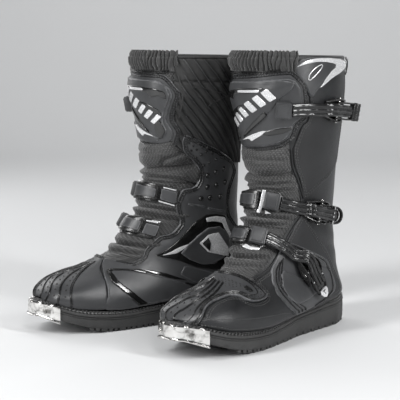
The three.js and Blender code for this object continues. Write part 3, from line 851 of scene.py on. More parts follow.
# Smooth leather: the lateral side with the back, and the medial side behind the moulded shell.
def leather_lift(s, d):
    creases = 0.35 * np.sin(s * 9 + d * 0.05) * np.exp(-((s - 6.2) ** 2) / 1.2)
    return 0.25 * noise3(surface(s, d), 0.03) + creases * ease(d, 60, 110)


upper = Shape()
lateral_rows = [[s, front_edge(s, LATERAL_EDGE) - 2, 182] for s in np.linspace(0.02, 8.8, 40)]
lateral_rows[0:6] = [[s, 45, 182] for s, _, _ in lateral_rows[0:6]]
lateral_rows += [[8.97, 0.3, 182], [13.75, 0.3, 182]]
sheet_panel(upper, lateral_rows, leather_lift, -2.4, 0.08, 84)
medial_rows = [[3.3, 182, 262]] + [
    [s, 182, 360 + front_edge(s, MEDIAL_EDGE) + 2] for s in np.linspace(3.6, 8.8, 26)
]
medial_rows += [[8.97, 182, 359.7], [13.75, 182, 359.7]]
sheet_panel(upper, medial_rows, leather_lift, -2.4, 0.08, 70)

SHAFT_PANEL = [
    (0.06, 50), (0.5, 50), (0.9, 61), (1.3, 63), (1.95, 62), (2.15, 54), (2.6, 49), (3.0, 45.5), (3.53, 49),
    (4.07, 58), (4.6, 63.5), (4.83, 66), (4.29, 79), (3.57, 110), (3.25, 122), (2.6, 123), (0.06, 122),
]
QUARTER_PANEL = [
    (5.3, 66), (5.72, 76), (6.19, 89), (6.72, 99.5), (7.33, 106), (8.05, 109), (8.5, 117), (9.0, 121),
    (10.0, 121), (11.0, 122), (12.3, 122), (13.2, 108), (13.45, 88), (13.1, 58), (12.39, 34), (11.46, 25),
    (10.63, 29), (10.31, 39), (10.48, 54), (10.13, 61), (9.66, 60), (9.05, 36), (8.7, 37), (8.3, 40),
    (7.33, 45), (6.51, 51), (5.9, 57.5), (5.4, 64),
]


def soft_relief(s, d, g):
    return 0.3 * noise3(surface(s, d), 0.022)


PANEL_TOP = 1.5
for outline in (SHAFT_PANEL, QUARTER_PANEL):
    plate(upper, outline, PANEL_TOP, -0.6, 0, 2.4, 0.7, cut=0.16, relief=soft_relief)
BACK_STAY = [
    (0.1, 172), (3.2, 172), (6.6, 172), (8.1, 165), (8.25, 180), (8.1, 195), (6.6, 188), (3.2, 188),
    (0.1, 188)
]
plate(upper, BACK_STAY, PANEL_TOP, -0.5, 0, 2.4, 0.7)
HEEL_COUNTER = [
    (6.9, 196), (6.6, 212), (7.0, 224), (7.8, 234), (8.6, 250), (8.95, 258), (9.4, 256), (9.2, 236),
    (8.7, 222), (8.35, 204), (8.2, 192), (7.5, 190),
]
plate(upper, HEEL_COUNTER, PANEL_TOP, -0.5, 0, 2.4, 0.7)
place_pair("leather_upper", upper, [leather], ["leather_upper"])

seams = Shape()
for outline, rows in (
    (SHAFT_PANEL, (1.9, 4.2)), (QUARTER_PANEL, (1.9, 4.2)), (BACK_STAY, (1.6,)), (HEEL_COUNTER, (1.7,))
):
    for inset in rows:
        stitches(seams, offset_way(outline, inset), 1.6, 3.4, 2.3, 0.42, True, rounds=0)
place_pair("upper_stitching", seams, [thread])

# A narrow tube along each cut edge of the flex opening, and the folded top rim of the shaft.
edging = Shape()
edge_way = [(s, front_edge(s, LATERAL_EDGE) + 1.0) for s in (2.95, 3.25, 3.6, 4.1, 4.75)]
piping(edging, edge_way, 1.1, 1.7, 1.5)
edge_way = [(s, front_edge(s, LATERAL_EDGE) + 1.5) for s in (5.42, 5.9, 6.5, 7.3, 8.2, 8.6, 8.85)]
piping(edging, edge_way, 1.1, 1.7, 1.5)
rim_way = [(0.03, d) for d in range(0, 360, 6)]
line = np.array(rim_way, float)
sweep(
    edging, skin(line[:, 0], line[:, 1], np.full(len(line), -3.4)), normal(*line.T), 4.4, 7.8, 0, 12, 2.4,
    True
)
place_pair("edge_binding", edging, [leather])

# The flex panel: puffed folds of embossed leather between creases.
PUFFS = [
    (3.5, 0.52, 4.2, 0.25), (4.28, 0.34, 3.6, 0.1), (5.72, 0.2, 2.4, 0.1), (6.06, 0.22, 3.4, 0.12),
    (7.52, 0.3, 3.0, 0.1), (8.08, 0.3, 2.4, 0.05)
]
CREASES = [
    ([(3.88, 46), (4.05, 25), (4.1, 0), (3.98, -32), (3.66, -70)], 1.0),
    ([(3.25, -58), (3.6, -34), (3.98, -30)], 0.8),
    ([(4.12, 54), (4.4, 26), (4.46, -15), (4.3, -50), (4.4, -80)], 0.8),
    ([(5.66, 58), (5.9, 20), (5.86, -20), (5.7, -60)], 0.9),
    ([(5.95, 52), (6.22, 20), (6.2, -25), (5.95, -66)], 0.8),
    ([(7.55, 36), (7.82, 14), (7.8, -12), (7.6, -44)], 0.9),
    ([(8.1, 34), (8.32, 10), (8.3, -12), (8.1, -36)], 0.7),
    ([(3.35, 38), (3.45, 10), (3.35, -20)], 0.35),
]


def flex_lift(s, d):
    medial, lateral = front_edge(s, MEDIAL_EDGE), front_edge(s, LATERAL_EDGE)
    edge = ease(d, medial - 3, medial + 11) * ease(-d, -lateral - 3, -lateral + 9)
    puff = np.zeros_like(s)
    for centre, half, rise, bow in PUFFS:
        q = (s - centre + bow * (d / 45) ** 2) / half
        puff = np.maximum(puff, rise * np.maximum(0, 1 - q * q) ** 0.62)
    wrinkle = 0.55 * noise3(
        surface(s, d) * [1, 1, 2.4], 0.085
    ) + 0.3 * noise3(surface(s, d) * [1, 1, 2], 0.21, 7)
    crease = dip(s, d, CREASES, 4.6, 2.4)
    return -1.7 + edge * (2.1 + 1.35 * puff + wrinkle * 1.4 - crease)


bellows = Shape()
rows = [
    [s, front_edge(s, MEDIAL_EDGE) - 4, front_edge(s, LATERAL_EDGE) + 4] for s in np.linspace(0.5, 9.0, 60)
]
sheet_panel(bellows, rows, flex_lift, -3.4, 0.035, 110)
place_pair("flex_panel", bellows, [flex], ["flex_panel"])

# The gathered collar above the shin plate: a padded roll drawn in by elastic rows.
PLEAT_PITCH = 4.6
ROLL_AT = [0, 0.12, 0.3, 0.45, 0.56, 0.64, 0.72, 0.85, 1]


def collar_profile(v):
    """Station and height of the roll from its stitched foot (v = 0) over the top to the inside (v = 1)."""
    station = np.interp(v, ROLL_AT, [0.56, 0.5, 0.3, 0.12, -0.02, -0.1, -0.02, 0.15, 0.4])
    lift = np.interp(v, ROLL_AT, [1.0, 2.2, 4.6, 5.0, 3.4, -0.5, -3.9, -5.4, -5.6])
    return station, lift


collar = Shape()
columns, levels = 210, 40
d = np.linspace(-54, 50, columns + 1)
v = np.linspace(0, 1, levels + 1)
station, lift = collar_profile(v)
D = np.repeat(d[None], levels + 1, 0)
V = np.repeat(v[:, None], columns + 1, 1)
foot = surface(np.full(d.shape, 0.3), d)
arc = np.concatenate([[0], np.cumsum(np.linalg.norm(np.diff(foot, axis=0), axis=1))])
A = np.repeat(arc[None], levels + 1, 0)
jitter = noise3(np.stack([A * 0.13, V * 2.2, V * 0], -1), 1.0)
phase = A / PLEAT_PITCH * math.pi + 1.5 * jitter + 0.5 * np.sin(V * 9 + A * 0.3)
pleat = np.abs(np.sin(phase)) ** 0.55 - 0.62
gather = ease(V, 0.02, 0.16) * (1 - 0.75 * ease(V, 0.68, 0.95))
elastic = 1.1 * np.exp(-(((V - 0.17) / 0.03) ** 2)) + 1.0 * np.exp(-(((V - 0.5) / 0.035) ** 2))
bulge = 0.8 * noise3(np.stack([A * 0.07, V * 1.3, V * 0 + 4], -1), 1.0)
lifts = lift[:, None] + gather * (pleat * 4.2 + 1.4 * bulge) - elastic * gather
below = np.clip(-station, 0, None)
on_shaft = np.clip(station, 0, None)[:, None] + 0 * D
outwards = normal(on_shaft, D)
P = skin(on_shaft, D, lifts)
P[..., 2] += (below * 60)[:, None] + gather * (ease(V, 0.4, 0.6) * (1 - ease(V, 0.72, 0.85))) * pleat * 2.2
end = ease(np.minimum(D + 54, 50 - D), 0, 4)
P = P - outwards * ((1 - end) * 3.2)[..., None]
w = columns + 1
faces = []
for i in range(levels):
    for k in range(columns):
        a, b = i * w + k, (i + 1) * w + k
        faces.append((a, a + 1, b + 1, b))
# closed by its own underside, half way to the roll's core
core = P - outwards * np.where(V < 0.64, 1.6, -1.6)[..., None]
m = w * (levels + 1)
faces += [tuple(k + m for k in f[::-1]) for f in faces]
for k in range(columns):
    faces.append((k, k + m, k + 1 + m, k + 1))
    a = levels * w + k
    faces.append((a, a + 1, a + 1 + m, a + m))
for i in range(levels):
    a, b = i * w, (i + 1) * w
    faces.append((a, b, b + m, a + m))
    a, b = a + columns, b + columns
    faces.append((a, a + m, b + m, b))
run = np.stack([A, V * 60], -1).reshape(-1, 2)
collar.add(np.vstack([P.reshape(-1, 3), core.reshape(-1, 3)]), faces, 0, None, np.vstack([run, run]))
place_pair("collar", collar, [collar_look], ["collar"], sharp=60)

# The ribbed calf panel.
RIB_PITCH = 9.4
# how many mm a rib shifts per station and per degree
RIB_RISE = 22.3
RIB_TURN = 0.9


def rib_lift(s, d):
    p = surface(s, d)
    slope = s * RIB_RISE + d * RIB_TURN
    wave = 0.5 + 0.5 * np.cos(slope / RIB_PITCH * 2 * math.pi)
    band = ease(s, 0.08, 0.2)
    seam = np.exp(-(((s - 0.82) / 0.035) ** 2))
    return -0.4 + band * (2.6 * wave**0.4) * (1 - 0.85 * seam) + 0.15 * noise3(p, 0.04)


calf = Shape()
sheet_panel(
    calf, [[0.04, -182, -50], [3.0, -182, -50], [3.25, -182, -60], [3.45, -182, -80]], rib_lift, -2.4, 0.03,
    150
)
place_pair("calf_panel", calf, [ribbed], ["calf_panel"])
calf_trim = Shape()
piping(calf_trim, [(0.06, -52), (0.06, -100), (0.06, -150), (0.06, -180)], 1.2, 2.6, 1.6)
stitches(calf_trim, [(0.82, -56), (0.8, -100), (0.8, -140), (0.8, -176)], 1.0, 2.6, 1.7, 0.4)
piping(calf_trim, [(0.5, -53), (0.9, -57), (1.15, -60), (1.5, -58), (2.0, -54)], 1.3, 2.2, 1.6)
# a plain embossed lens where two curved welts cross
piping(calf_trim, [(0.98, -68), (1.05, -88), (1.32, -108), (1.8, -126)], 1.6, 1.5, 1.3, cut=0.3)
piping(calf_trim, [(1.62, -84), (1.3, -100), (1.08, -118), (1.0, -138)], 1.6, 1.5, 1.3, cut=0.3)
piping(calf_trim, [(0.98, -68), (1.25, -78), (1.62, -84)], 1.6, 1.5, 1.3, cut=0.3)
place_pair("calf_trim", calf_trim, [ribbed])

# A thin raised line beside each groove between the ribs.
rib_lines = Shape()
for turn in range(-18, 8):
    offset = (turn + 0.5) * RIB_PITCH + 1.7
    way = [(s, (offset - s * RIB_RISE) / RIB_TURN) for s in np.linspace(0.16, 3.2, 20)]
    way = [(s, d) for s, d in way if -176 < d < -58 - 12 * ease(s, 2.6, 3.2)]
    if len(way) > 2:
        piping(rib_lines, way, 1.35, 0.9, 0.9, step=3.0, sides=6)
place_pair("calf_rib_lines", rib_lines, [moulded])

# Lining, seen from above.
inner = Shape()
sheet_panel(inner, [[0.05, -180, 180], [13.0, -180, 180]], -5.4, -7.4, 0.16, 72)
place_pair("lining", inner, [lining_look], ["lining"])

# ---- Shin plate ----
SHIN_FLANGE = [
    (0.47, 42), (0.63, 50), (0.85, 58), (1.31, 60), (1.92, 59), (2.1, 50), (2.6, 45.5), (2.95, 30),
    (3.1, 8), (3.15, -26), (3.08, -50), (2.46, -56), (2.0, -46), (1.16, -57), (0.8, -47), (0.62, -38),
    (0.58, 0), (0.5, 24),
]
SHIN_BODY = [
    (0.68, 38), (0.75, 46), (0.94, 51), (1.3, 53), (1.84, 52), (2.04, 43), (2.5, 38), (2.8, 24), (2.93, 4),
    (2.97, -26), (2.86, -43), (2.5, -47), (2.06, -38), (1.7, -42), (1.25, -48), (1.0, -45), (0.83, -34),
    (0.76, 0),
]
SHIN_SHIELD = [
    (0.79, -32), (0.77, 0), (0.72, 30), (0.78, 45), (0.98, 41), (1.3, 28), (1.62, 20), (2.12, -2),
    (2.6, -20), (2.78, -32), (2.45, -40), (2.1, -35), (1.75, -37), (1.25, -45), (0.98, -42),
]
VISOR = [
    (0.93, 16), (0.96, -12), (1.02, -30), (1.1, -40), (1.32, -42), (1.22, -34), (1.28, -24), (1.12, -20),
    (1.1, 0)
]
SIDE_NOTCH = [(1.38, 4), (1.46, -16), (1.66, -32), (1.86, -35), (1.78, -20), (1.56, -4)]
LOW_NOTCH = [(1.92, -28), (2.12, -34), (2.44, -38), (2.7, -34), (2.56, -26), (2.2, -26)]
BLADE_NOTCH = [(1.62, 14), (1.76, 16), (2.1, 4), (2.42, -10), (2.52, -17), (2.2, -6)]
UNDER_BLADE = [(2.36, 8), (2.2, 26), (2.12, 42), (2.22, 42), (2.36, 32), (2.46, 16)]
SILVER_BLADE = [(2.68, -24), (2.5, -8), (2.3, 9), (2.28, 15), (2.44, 10), (2.7, -4), (2.6, -8)]

shin = Shape()
plate(shin, SHIN_FLANGE, 2.2, -1.0, 0, 2.0, 0.7, rounds=1, cut=0.14)
plate(shin, SHIN_BODY, 4.4, 0.5, 0, 2.0, 1.1, rounds=1, cut=0.14, relief=lambda s, d, g: 0.5 * ease(g, 2, 14))
plate(
    shin, SHIN_SHIELD, 6.0, 1.0, 0, 1.8, 1.1, rounds=1, cut=0.12,
    relief=lambda s, d, g: 1.0 * ease(g, 1, 10) - dip(
        s, d, [([(0.8, 20), (1.3, 4), (2.0, -16), (2.7, -34)], 1.0)], 0.5, 5
    ),
)
BLADE_RIDGE = [
    (2.72, -30), (2.35, 6), (2.16, 28), (2.1, 44), (2.3, 41), (2.6, 33), (2.8, 20), (2.88, 0), (2.9, -26)
]
plate(shin, BLADE_RIDGE, 5.6, 1.0, 0, 1.8, 0.9, rounds=1, cut=0.14)
place_pair("shin_plate", shin, [moulded], ["shin_plate"], sharp=40)

shin_gloss = Shape()
for way, height in (
    (VISOR, 7.5), (SIDE_NOTCH, 7.5), (LOW_NOTCH, 7.4), (BLADE_NOTCH, 7.3), (UNDER_BLADE, 6.3)
):
    plate(shin_gloss, way, height, 3.0, 0, 1.5, 0.5, rounds=1, cut=0.12)
place_pair("shin_gloss_insets", shin_gloss, [gloss])

# Generic silver bars and a blade where the photographed boots carry printed words.
accents = Shape()
plate(accents, SILVER_BLADE, 6.35, 4.0, 0, 1.4, 0.3, rounds=1, cut=0.12)
ends = np.array([[2.12, -34.0], [1.0, 26.0]])
for centre, half in ((0.1, 0.04), (0.25, 0.045), (0.4, 0.045), (0.56, 0.05), (0.72, 0.05), (0.88, 0.055)):
    a, b = (ends[0] + (ends[1] - ends[0]) * (centre + k) for k in (-half, half))
    lean = np.array([0.135, 4.6])
    plate(accents, [a + lean, b + lean, b - lean, a - lean], 7.55, 5.0, 0, 1.3, 0.25, rounds=1, cut=0.08)
plate(accents, [(0.98, 10), (1.0, -14), (1.07, -15), (1.06, 9)], 7.75, 6.0, 0, 1.2, 0.2, rounds=1, cut=0.1)
place_pair("shin_silver_bars", accents, [silver])

trim = Shape()
for inset, size in ((1.2, 1.5), (4.0, 1.3)):
    piping(trim, offset_way(SHIN_FLANGE, inset, 1, 0.14), 2.2, size, 1.4, closed=True, rounds=0)
stitches(trim, offset_way(SHIN_FLANGE, 2.6, 1, 0.14), 2.3, 2.9, 2.0, 0.4, True, rounds=0)
for station, size in ((0.5, 1.3), (0.545, 1.2)):
    piping(
        trim, [(station + 0.02, -44), (station + 0.03, -20), (station + 0.02, 10), (station - 0.04, 34)],
        2.6, size * 1.4, 1.6
    )
place_pair("shin_trim", trim, [ridge_look])

# ---- Moulded shell of the inner side ----
SHELL = [
    (2.55, -60), (2.82, -57), (3.2, -58.5), (3.7, -76), (4.15, -77), (4.54, -72), (4.74, -58), (5.3, -54),
    (5.6, -54), (6.1, -61), (6.7, -53.5), (6.95, -43.5), (7.7, -37), (8.2, -40), (8.7, -38), (8.83, -26),
    (8.93, -11), (9.3, -16), (10.0, -36), (11.0, -76), (11.42, -92), (11.4, -103), (10.0, -103),
    (8.9, -105), (8.2, -120), (7.7, -134), (6.95, -150), (6.1, -146), (5.7, -131), (5.3, -115),
    (4.54, -117), (4.15, -121), (3.7, -130), (3.4, -122), (3.05, -98), (2.8, -80),
]


def shell_lift(s, d, g):
    """The face rising away from the edge all round, and a shallow trough across the forefoot."""
    face = 0.9 * ease(g, 2, 12)
    fore = -0.9 * np.exp(
        -((gap_to(surface(s, d), surface(*dense([(9.15, -60), (10.3, -84)], 2).T), False) / 7) ** 2)
    )
    return face + fore


shell = Shape()
plate(shell, SHELL, 3.6, 1.3, 0, 2.1, 0.9, cut=0.16, relief=shell_lift)
# a raised facet that widens from the top of the foot to the welt
FOREFOOT_FACET = [(9.62, -34), (9.1, -52), (8.95, -82), (9.3, -97), (10.35, -97), (10.55, -84), (10.3, -62)]
plate(shell, FOREFOOT_FACET, 5.6, 2.0, 0, 2.0, 1.5, rounds=1, cut=0.14)
HEEL_WING = [(7.95, -66), (7.9, -84), (8.0, -108), (8.6, -101), (8.8, -84), (8.55, -70)]
plate(shell, HEEL_WING, 5.1, 2.0, 0, 2.0, 1.2, rounds=1, cut=0.14)
for rows, radius in (
    ([(2.6, -60), (2.72, -64), (2.64, -68)], 0.85),
    ([(2.85, -64), (2.95, -69), (2.86, -75)], 0.95),
    ([(3.12, -67), (3.07, -73), (2.98, -79), (3.0, -85)], 1.05),
    ([(3.36, -72), (3.25, -78), (3.13, -84), (3.16, -91)], 1.2),
    ([(3.62, -81), (3.5, -88), (3.38, -95), (3.3, -103)], 1.4),
    ([(3.97, -86), (3.82, -95), (3.68, -105)], 2.15),
    ([(4.43, -86), (4.29, -96), (4.14, -108)], 2.3),
    ([(4.95, -79), (4.84, -90), (4.72, -101)], 2.4),
):
    for s, d in rows:
        stud(shell, s, d, 4.4, radius * 1.12, radius, look=1)
# two plain moulded bars under the studs
for d0, d1 in ((-66, -84), (-87, -106)):
    plate(shell, [(5.24, d0), (5.2, d1), (5.29, d1), (5.33, d0)], 4.9, 3.0, 0, 1.3, 0.35, rounds=1, cut=0.15)
place_pair("medial_shell", shell, [moulded, ridge_look], ["medial_shell"], sharp=42)

FOREFOOT_START = 8.9


def above_forefoot(way):
    """The part of a closed way that stays off the forefoot, from its start there round to its end."""
    way = [tuple(p) for p in way]
    kept = [s < FOREFOOT_START for s, _ in way]
    first = next(k for k in range(len(way)) if kept[k] and not kept[k - 1])
    return [p for p in way[first:] + way[:first] if p[0] < FOREFOOT_START]


shell_trim = Shape()
for inset, lift in ((1.3, 3.7), (4.3, 3.95)):
    piping(shell_trim, above_forefoot(offset_way(SHELL, inset, 2, 0.16)), lift, 1.4, 1.5, rounds=0)
stitches(shell_trim, above_forefoot(offset_way(SHELL, 2.8, 2, 0.16)), 3.8, 3.0, 2.0, 0.42, rounds=0)
place_pair("medial_shell_trim", shell_trim, [ridge_look])

# Ankle shield: gloss frame, matt body, silver patch.
SHIELD_FRAME = [
    (7.92, -46), (7.05, -57), (6.5, -64), (5.95, -73), (5.55, -84), (5.42, -95), (5.4, -107), (5.72, -110),
    (6.25, -117), (6.6, -115), (6.9, -108), (7.45, -93), (7.75, -85), (7.9, -74), (7.8, -62),
]
SHIELD_BODY = [
    (7.42, -62), (6.92, -67), (6.45, -75), (6.05, -85), (5.86, -96), (5.98, -103), (6.25, -107),
    (6.52, -105), (6.95, -95), (7.45, -85), (7.66, -76), (7.6, -68),
]
SILVER_PATCH = [(6.74, -75.5), (6.32, -84), (6.12, -93.5), (6.6, -101), (6.94, -98.5), (7.02, -82)]
PATCH_NOTCH = [(6.72, -77.5), (6.42, -83.5), (6.62, -85), (6.96, -83)]
TOP_BAR = [
    (5.68, -84), (5.5, -94), (5.48, -105), (5.8, -108), (6.22, -113.5), (6.32, -110), (5.95, -103.5),
    (5.7, -100), (5.72, -92), (5.82, -85)
]
LEFT_SPEAR = [(7.82, -50), (7.2, -60), (6.9, -67.5), (7.1, -65.5), (7.5, -59)]
shield = Shape()
plate(shield, SHIELD_FRAME, 5.6, 2.4, 0, 1.7, 0.8, rounds=1, cut=0.07)
plate(shield, PATCH_NOTCH, 8.8, 6.0, 0, 1.3, 0.3, rounds=1, cut=0.07)
place_pair("shield_frame", shield, [gloss])
shield = Shape()
plate(shield, SHIELD_BODY, 7.2, 3.5, 0, 1.7, 1.0, rounds=1, cut=0.08)
rib = offset_way(SHIELD_BODY, 1.9)
piping(shield, rib, 7.0, 1.1, 0.9, closed=True, rounds=0)
place_pair("shield_body", shield, [moulded])
shield = Shape()
plate(
    shield, SILVER_PATCH, 7.9, 5.0, 0, 1.5, 0.6, rounds=1, cut=0.05, relief=lambda s, d,
    g: 0.5 * ease(g, 0.5, 6)
)
plate(shield, TOP_BAR, 6.2, 4.0, 0, 1.4, 0.6, rounds=1, cut=0.1)
plate(shield, LEFT_SPEAR, 5.95, 4.0, 0, 1.3, 0.35, rounds=1, cut=0.1)
place_pair("shield_silver", shield, [silver])

# Gloss channels of the inner forefoot.
fore_gloss = Shape()
for way, height in (
    (
        [
            (9.62, -31), (9.85, -36), (10.3, -56), (10.5, -84), (10.62, -98), (10.42, -98), (10.3, -84),
            (10.12, -58), (9.78, -41)
        ],
        5.9
    ),
    ([(9.6, -31), (9.1, -46), (9.0, -56), (9.14, -56), (9.24, -46), (9.7, -37)], 5.9),
    ([(9.02, -44), (8.74, -62), (8.78, -80), (8.95, -72), (9.0, -58)], 5.3),
    ([(8.9, -80), (8.86, -96), (8.96, -96), (9.02, -82)], 5.3),
):
    plate(fore_gloss, way, height, 2.6, 0, 1.4, 0.5, rounds=1, cut=0.14)
place_pair("forefoot_gloss", fore_gloss, [gloss])

# ---- Toe cap ----
TOE_CAP = [
    (8.84, -9), (8.8, 6), (8.86, 21), (9.06, 34), (9.4, 48), (9.68, 60), (10.14, 60), (10.42, 52),
    (10.3, 36), (10.65, 26), (11.5, 21.5), (12.4, 29), (13.1, 50), (13.45, 84), (13.9, 84), (13.9, 0),
    (13.9, -84), (13.42, -92), (12.4, -101), (11.5, -101), (11.3, -90), (10.95, -72), (10.4, -50),
    (10.0, -33), (9.62, -20), (9.1, -11),
]


toe = Shape()
plate(toe, TOE_CAP, 3.6, 0.6, 0, 1.9, 1.1)
RIB_WAYS = [
    [(9.35, -6), (9.95, -9), (10.75, -20), (11.6, -38), (12.2, -66), (12.5, -98)],
    [(9.5, -4), (10.2, -4), (11.1, -12), (12.0, -28), (12.75, -58), (13.1, -92)],
    [(9.6, 0), (10.5, 2), (11.5, 0), (12.4, -12), (13.2, -40), (13.65, -80)],
    [(9.65, 5), (10.6, 8), (11.6, 8), (12.5, 4), (13.3, -6), (13.86, -30)],
    [(9.7, 10), (10.6, 14), (11.6, 15.5), (12.5, 18), (13.3, 32), (13.8, 60)],
]
for way in RIB_WAYS:
    piping(toe, way, 3.8, 1.2, 1.8, look=1, step=2.6)
    piping(toe, [(s + 0.05, d + 1.6) for s, d in way], 3.5, 1.0, 1.4, look=1, step=2.6)
for a, b in zip(RIB_WAYS[:-1], RIB_WAYS[1:]):
    line = even_way((smooth_line(a, 2) + smooth_line(b, 2)) / 2, 7.5)
    for s, d in line[3:-1]:
        stud(toe, s, d, 3.6, 0.95, 0.85, look=1, sides=8)
place_pair("toe_cap", toe, [moulded, ridge_look], ["toe_cap"], sharp=42)

toe_trim = Shape()
outer_line = [
    (8.9, -8), (8.88, 6), (8.94, 20), (9.14, 33), (9.44, 46), (9.72, 57.5), (10.1, 57.5), (10.34, 50),
    (10.2, 36), (10.6, 24.5), (11.5, 19.5), (12.4, 26.5), (13.1, 46), (13.5, 78),
]
piping(toe_trim, outer_line, 4.0, 1.6, 1.5)
inner_line = [
    (9.0, -6), (8.98, 6), (9.03, 19), (9.22, 31), (9.5, 42), (9.78, 50), (9.98, 50), (10.1, 44),
    (10.05, 34), (10.5, 21.5), (11.45, 16.5), (12.35, 22.5), (13.05, 39), (13.5, 64),
]
piping(toe_trim, inner_line, 4.0, 1.4, 1.3)
stitches(
    toe_trim, [((a + c) / 2, (b + e) / 2) for (a, b), (c, e) in zip(outer_line, inner_line)], 3.9, 2.9, 2.0,
    0.42
)
for row in range(5):
    for k in range(8 - row):
        stud(toe_trim, 9.25 + 0.13 * row + 0.055 * k, 2 + 5.0 * k + 2.2 * (row % 2), 3.6, 0.62, 0.5, sides=8)
# a plain lozenge moulded at the tip of the side wing
plate(toe_trim, [(9.5, 33), (9.72, 44), (9.9, 45), (9.78, 34)], 4.6, 3.0, 0, 1.3, 0.4, rounds=1, cut=0.15)
place_pair("toe_cap_trim", toe_trim, [ridge_look])

# ---- Ankle guard of the outer side ----
GUARD = [
    (6.62, 52), (6.7, 70), (6.82, 90), (7.0, 93), (7.5, 92.5), (8.6, 93.5), (9.3, 99), (9.9, 105),
    (9.98, 96), (9.75, 80), (9.4, 62), (8.8, 49), (8.1, 41), (7.6, 42), (7.0, 45),
]
guard = Shape()
plate(guard, GUARD, 3.2, 1.0, 0, 2.0, 0.8, rounds=1, cut=0.16, relief=lambda s, d, g: 0.6 * ease(g, 1, 8))
GUARD_FACET = [(7.95, 50), (8.3, 50), (9.1, 61), (9.45, 74), (9.6, 86), (9.2, 86), (8.6, 84), (8.2, 70)]
plate(guard, GUARD_FACET, 5.6, 2.0, 0, 1.9, 1.6, rounds=1, cut=0.14)
TOP_FACET = [(6.85, 56), (6.86, 74), (6.98, 88), (7.25, 88), (7.1, 72), (7.0, 60)]
plate(guard, TOP_FACET, 5.0, 2.0, 0, 1.9, 1.2, rounds=1, cut=0.14)
for shift, size in ((0.0, 1.6), (-0.11, 1.5), (-0.22, 1.4)):
    way = [
        (7.62 + shift, 45.5 + 10 * -shift), (8.08 + shift, 44.5 + 16 * -shift),
        (8.75 + shift, 51 + 6 * -shift), (9.28 + shift, 62), (9.62 + shift, 79), (9.84 + shift, 97)
    ]
    piping(guard, way, 4.0, size, size, look=1)
for shift in (0.0, 0.12):
    piping(
        guard, [(6.72 + shift, 55), (6.8 + shift, 72), (6.92 + shift, 88), (7.2 + shift, 90.5)], 4.0, 1.4,
        1.4, look=1
    )
piping(guard, [(7.3, 90.5), (7.9, 90), (8.6, 91.5), (9.3, 97)], 3.9, 1.4, 1.4, look=1)
stitches(
    guard, [(7.56, 43.6), (8.14, 42.8), (8.84, 50), (9.38, 61.5), (9.72, 79), (9.94, 97)], 3.5, 2.9, 2.0,
    0.42
)
place_pair("ankle_guard", guard, [moulded, ridge_look], ["ankle_guard"], sharp=40)

# ---- Top badge: a plain dark leaf with a silver crescent, no mark ----
BADGE = [
    (0.5, 47), (0.4, 43), (0.2, 50), (0.06, 60), (0.04, 74), (0.04, 92), (0.1, 108), (0.26, 124),
    (0.46, 124), (0.56, 104), (0.68, 86), (0.92, 73), (1.26, 64.5), (1.1, 60.5), (0.9, 58), (0.66, 49),
]
CRESCENT = [
    (0.4, 46), (0.22, 55), (0.09, 68), (0.07, 84), (0.12, 100), (0.25, 117), (0.38, 118), (0.5, 106),
    (0.66, 90), (0.96, 73), (0.74, 79), (0.5, 88), (0.4, 93), (0.33, 94), (0.27, 90), (0.23, 82),
    (0.22, 70), (0.3, 57),
]
LEAF = [(0.78, 59), (0.58, 60), (0.38, 68), (0.27, 77), (0.4, 76), (0.52, 72), (0.68, 65)]
badge = Shape()
plate(badge, BADGE, 2.5, -0.4, 0, 1.8, 0.9, rounds=2)
piping(badge, offset_way(BADGE, 1.3), 2.5, 1.2, 1.1, closed=True, rounds=0)
place_pair("badge_plate", badge, [moulded])
badge = Shape()
plate(badge, CRESCENT, 3.15, 1.6, 0, 1.3, 0.35, rounds=1, cut=0.14)
piping(badge, offset_way(LEAF, 0.4), 2.9, 1.0, 0.7, closed=True, rounds=0)
place_pair("badge_silver", badge, [silver])

# Pull loop at the back of the shaft's rim, on the outer side.
loop = Shape()
line = np.array([(0.06, 128), (0.2, 129), (0.4, 129.5), (0.62, 129)], float)
sweep(loop, skin(line[:, 0], line[:, 1], [1.6, 3.4, 3.2, 1.4]), normal(*line.T), 8.5, 1.4, 0, 12, 5)
for station in (0.12, 0.56):
    stitches(
        loop, [(station, 125.5), (station, 129), (station, 132.5)], 4.1 if station < 0.3 else 2.9, 2.2, 1.6,
        0.4, rounds=0
    )
place_pair("pull_loop", loop, [leather], sharp=50)

# ---- Carriers across the instep and forefoot ----
carriers = Shape()
MIDDLE_BAND = [
    (4.72, -55), (4.7, -20), (4.68, 12), (4.66, 39), (5.6, 39), (5.66, 12), (5.58, -20), (5.54, -55)
]
LOWER_BAND = [(6.22, -42), (6.34, -20), (6.4, 4), (6.42, 29), (7.26, 30), (7.34, 6), (7.3, -18), (7.2, -41)]
plate(carriers, MIDDLE_BAND, 3.6, 0.2, 0, 1.9, 0.9, rounds=1)
plate(carriers, LOWER_BAND, 4.2, 0.2, 0, 1.9, 0.9, rounds=1)
for way in (
    [(4.8, -31), (4.76, -10), (4.74, 9), (5.6, 9), (5.52, -14), (5.44, -31)],
    [(6.42, -24), (6.46, -6), (6.5, 8), (7.22, 7), (7.24, -8), (7.16, -24)],
):
    plate(carriers, way, 8.6, 2.0, 0, 1.9, 0.6, rounds=1, cut=0.07)
place_pair("strap_carriers", carriers, [nylon], ["instep_carrier", "forefoot_carrier"])
blocks = Shape()
plate(blocks, [(4.9, -53), (4.87, -35), (5.36, -35), (5.4, -53)], 5.3, 2.0, 0, 1.7, 0.5, rounds=1, cut=0.06)
plate(blocks, [(4.93, -29), (4.88, 5), (5.44, 5), (5.34, -29)], 9.6, 6.0, 0, 1.7, 0.5, rounds=1, cut=0.06)
plate(blocks, [(6.52, -41), (6.56, -27), (7.06, -27), (7.02, -40)], 5.8, 2.0, 0, 1.7, 0.5, rounds=1, cut=0.06)
plate(blocks, [(6.57, -22), (6.62, 5), (7.08, 5), (7.04, -22)], 9.6, 6.0, 0, 1.7, 0.5, rounds=1, cut=0.06)
place_pair("carrier_blocks", blocks, [moulded])
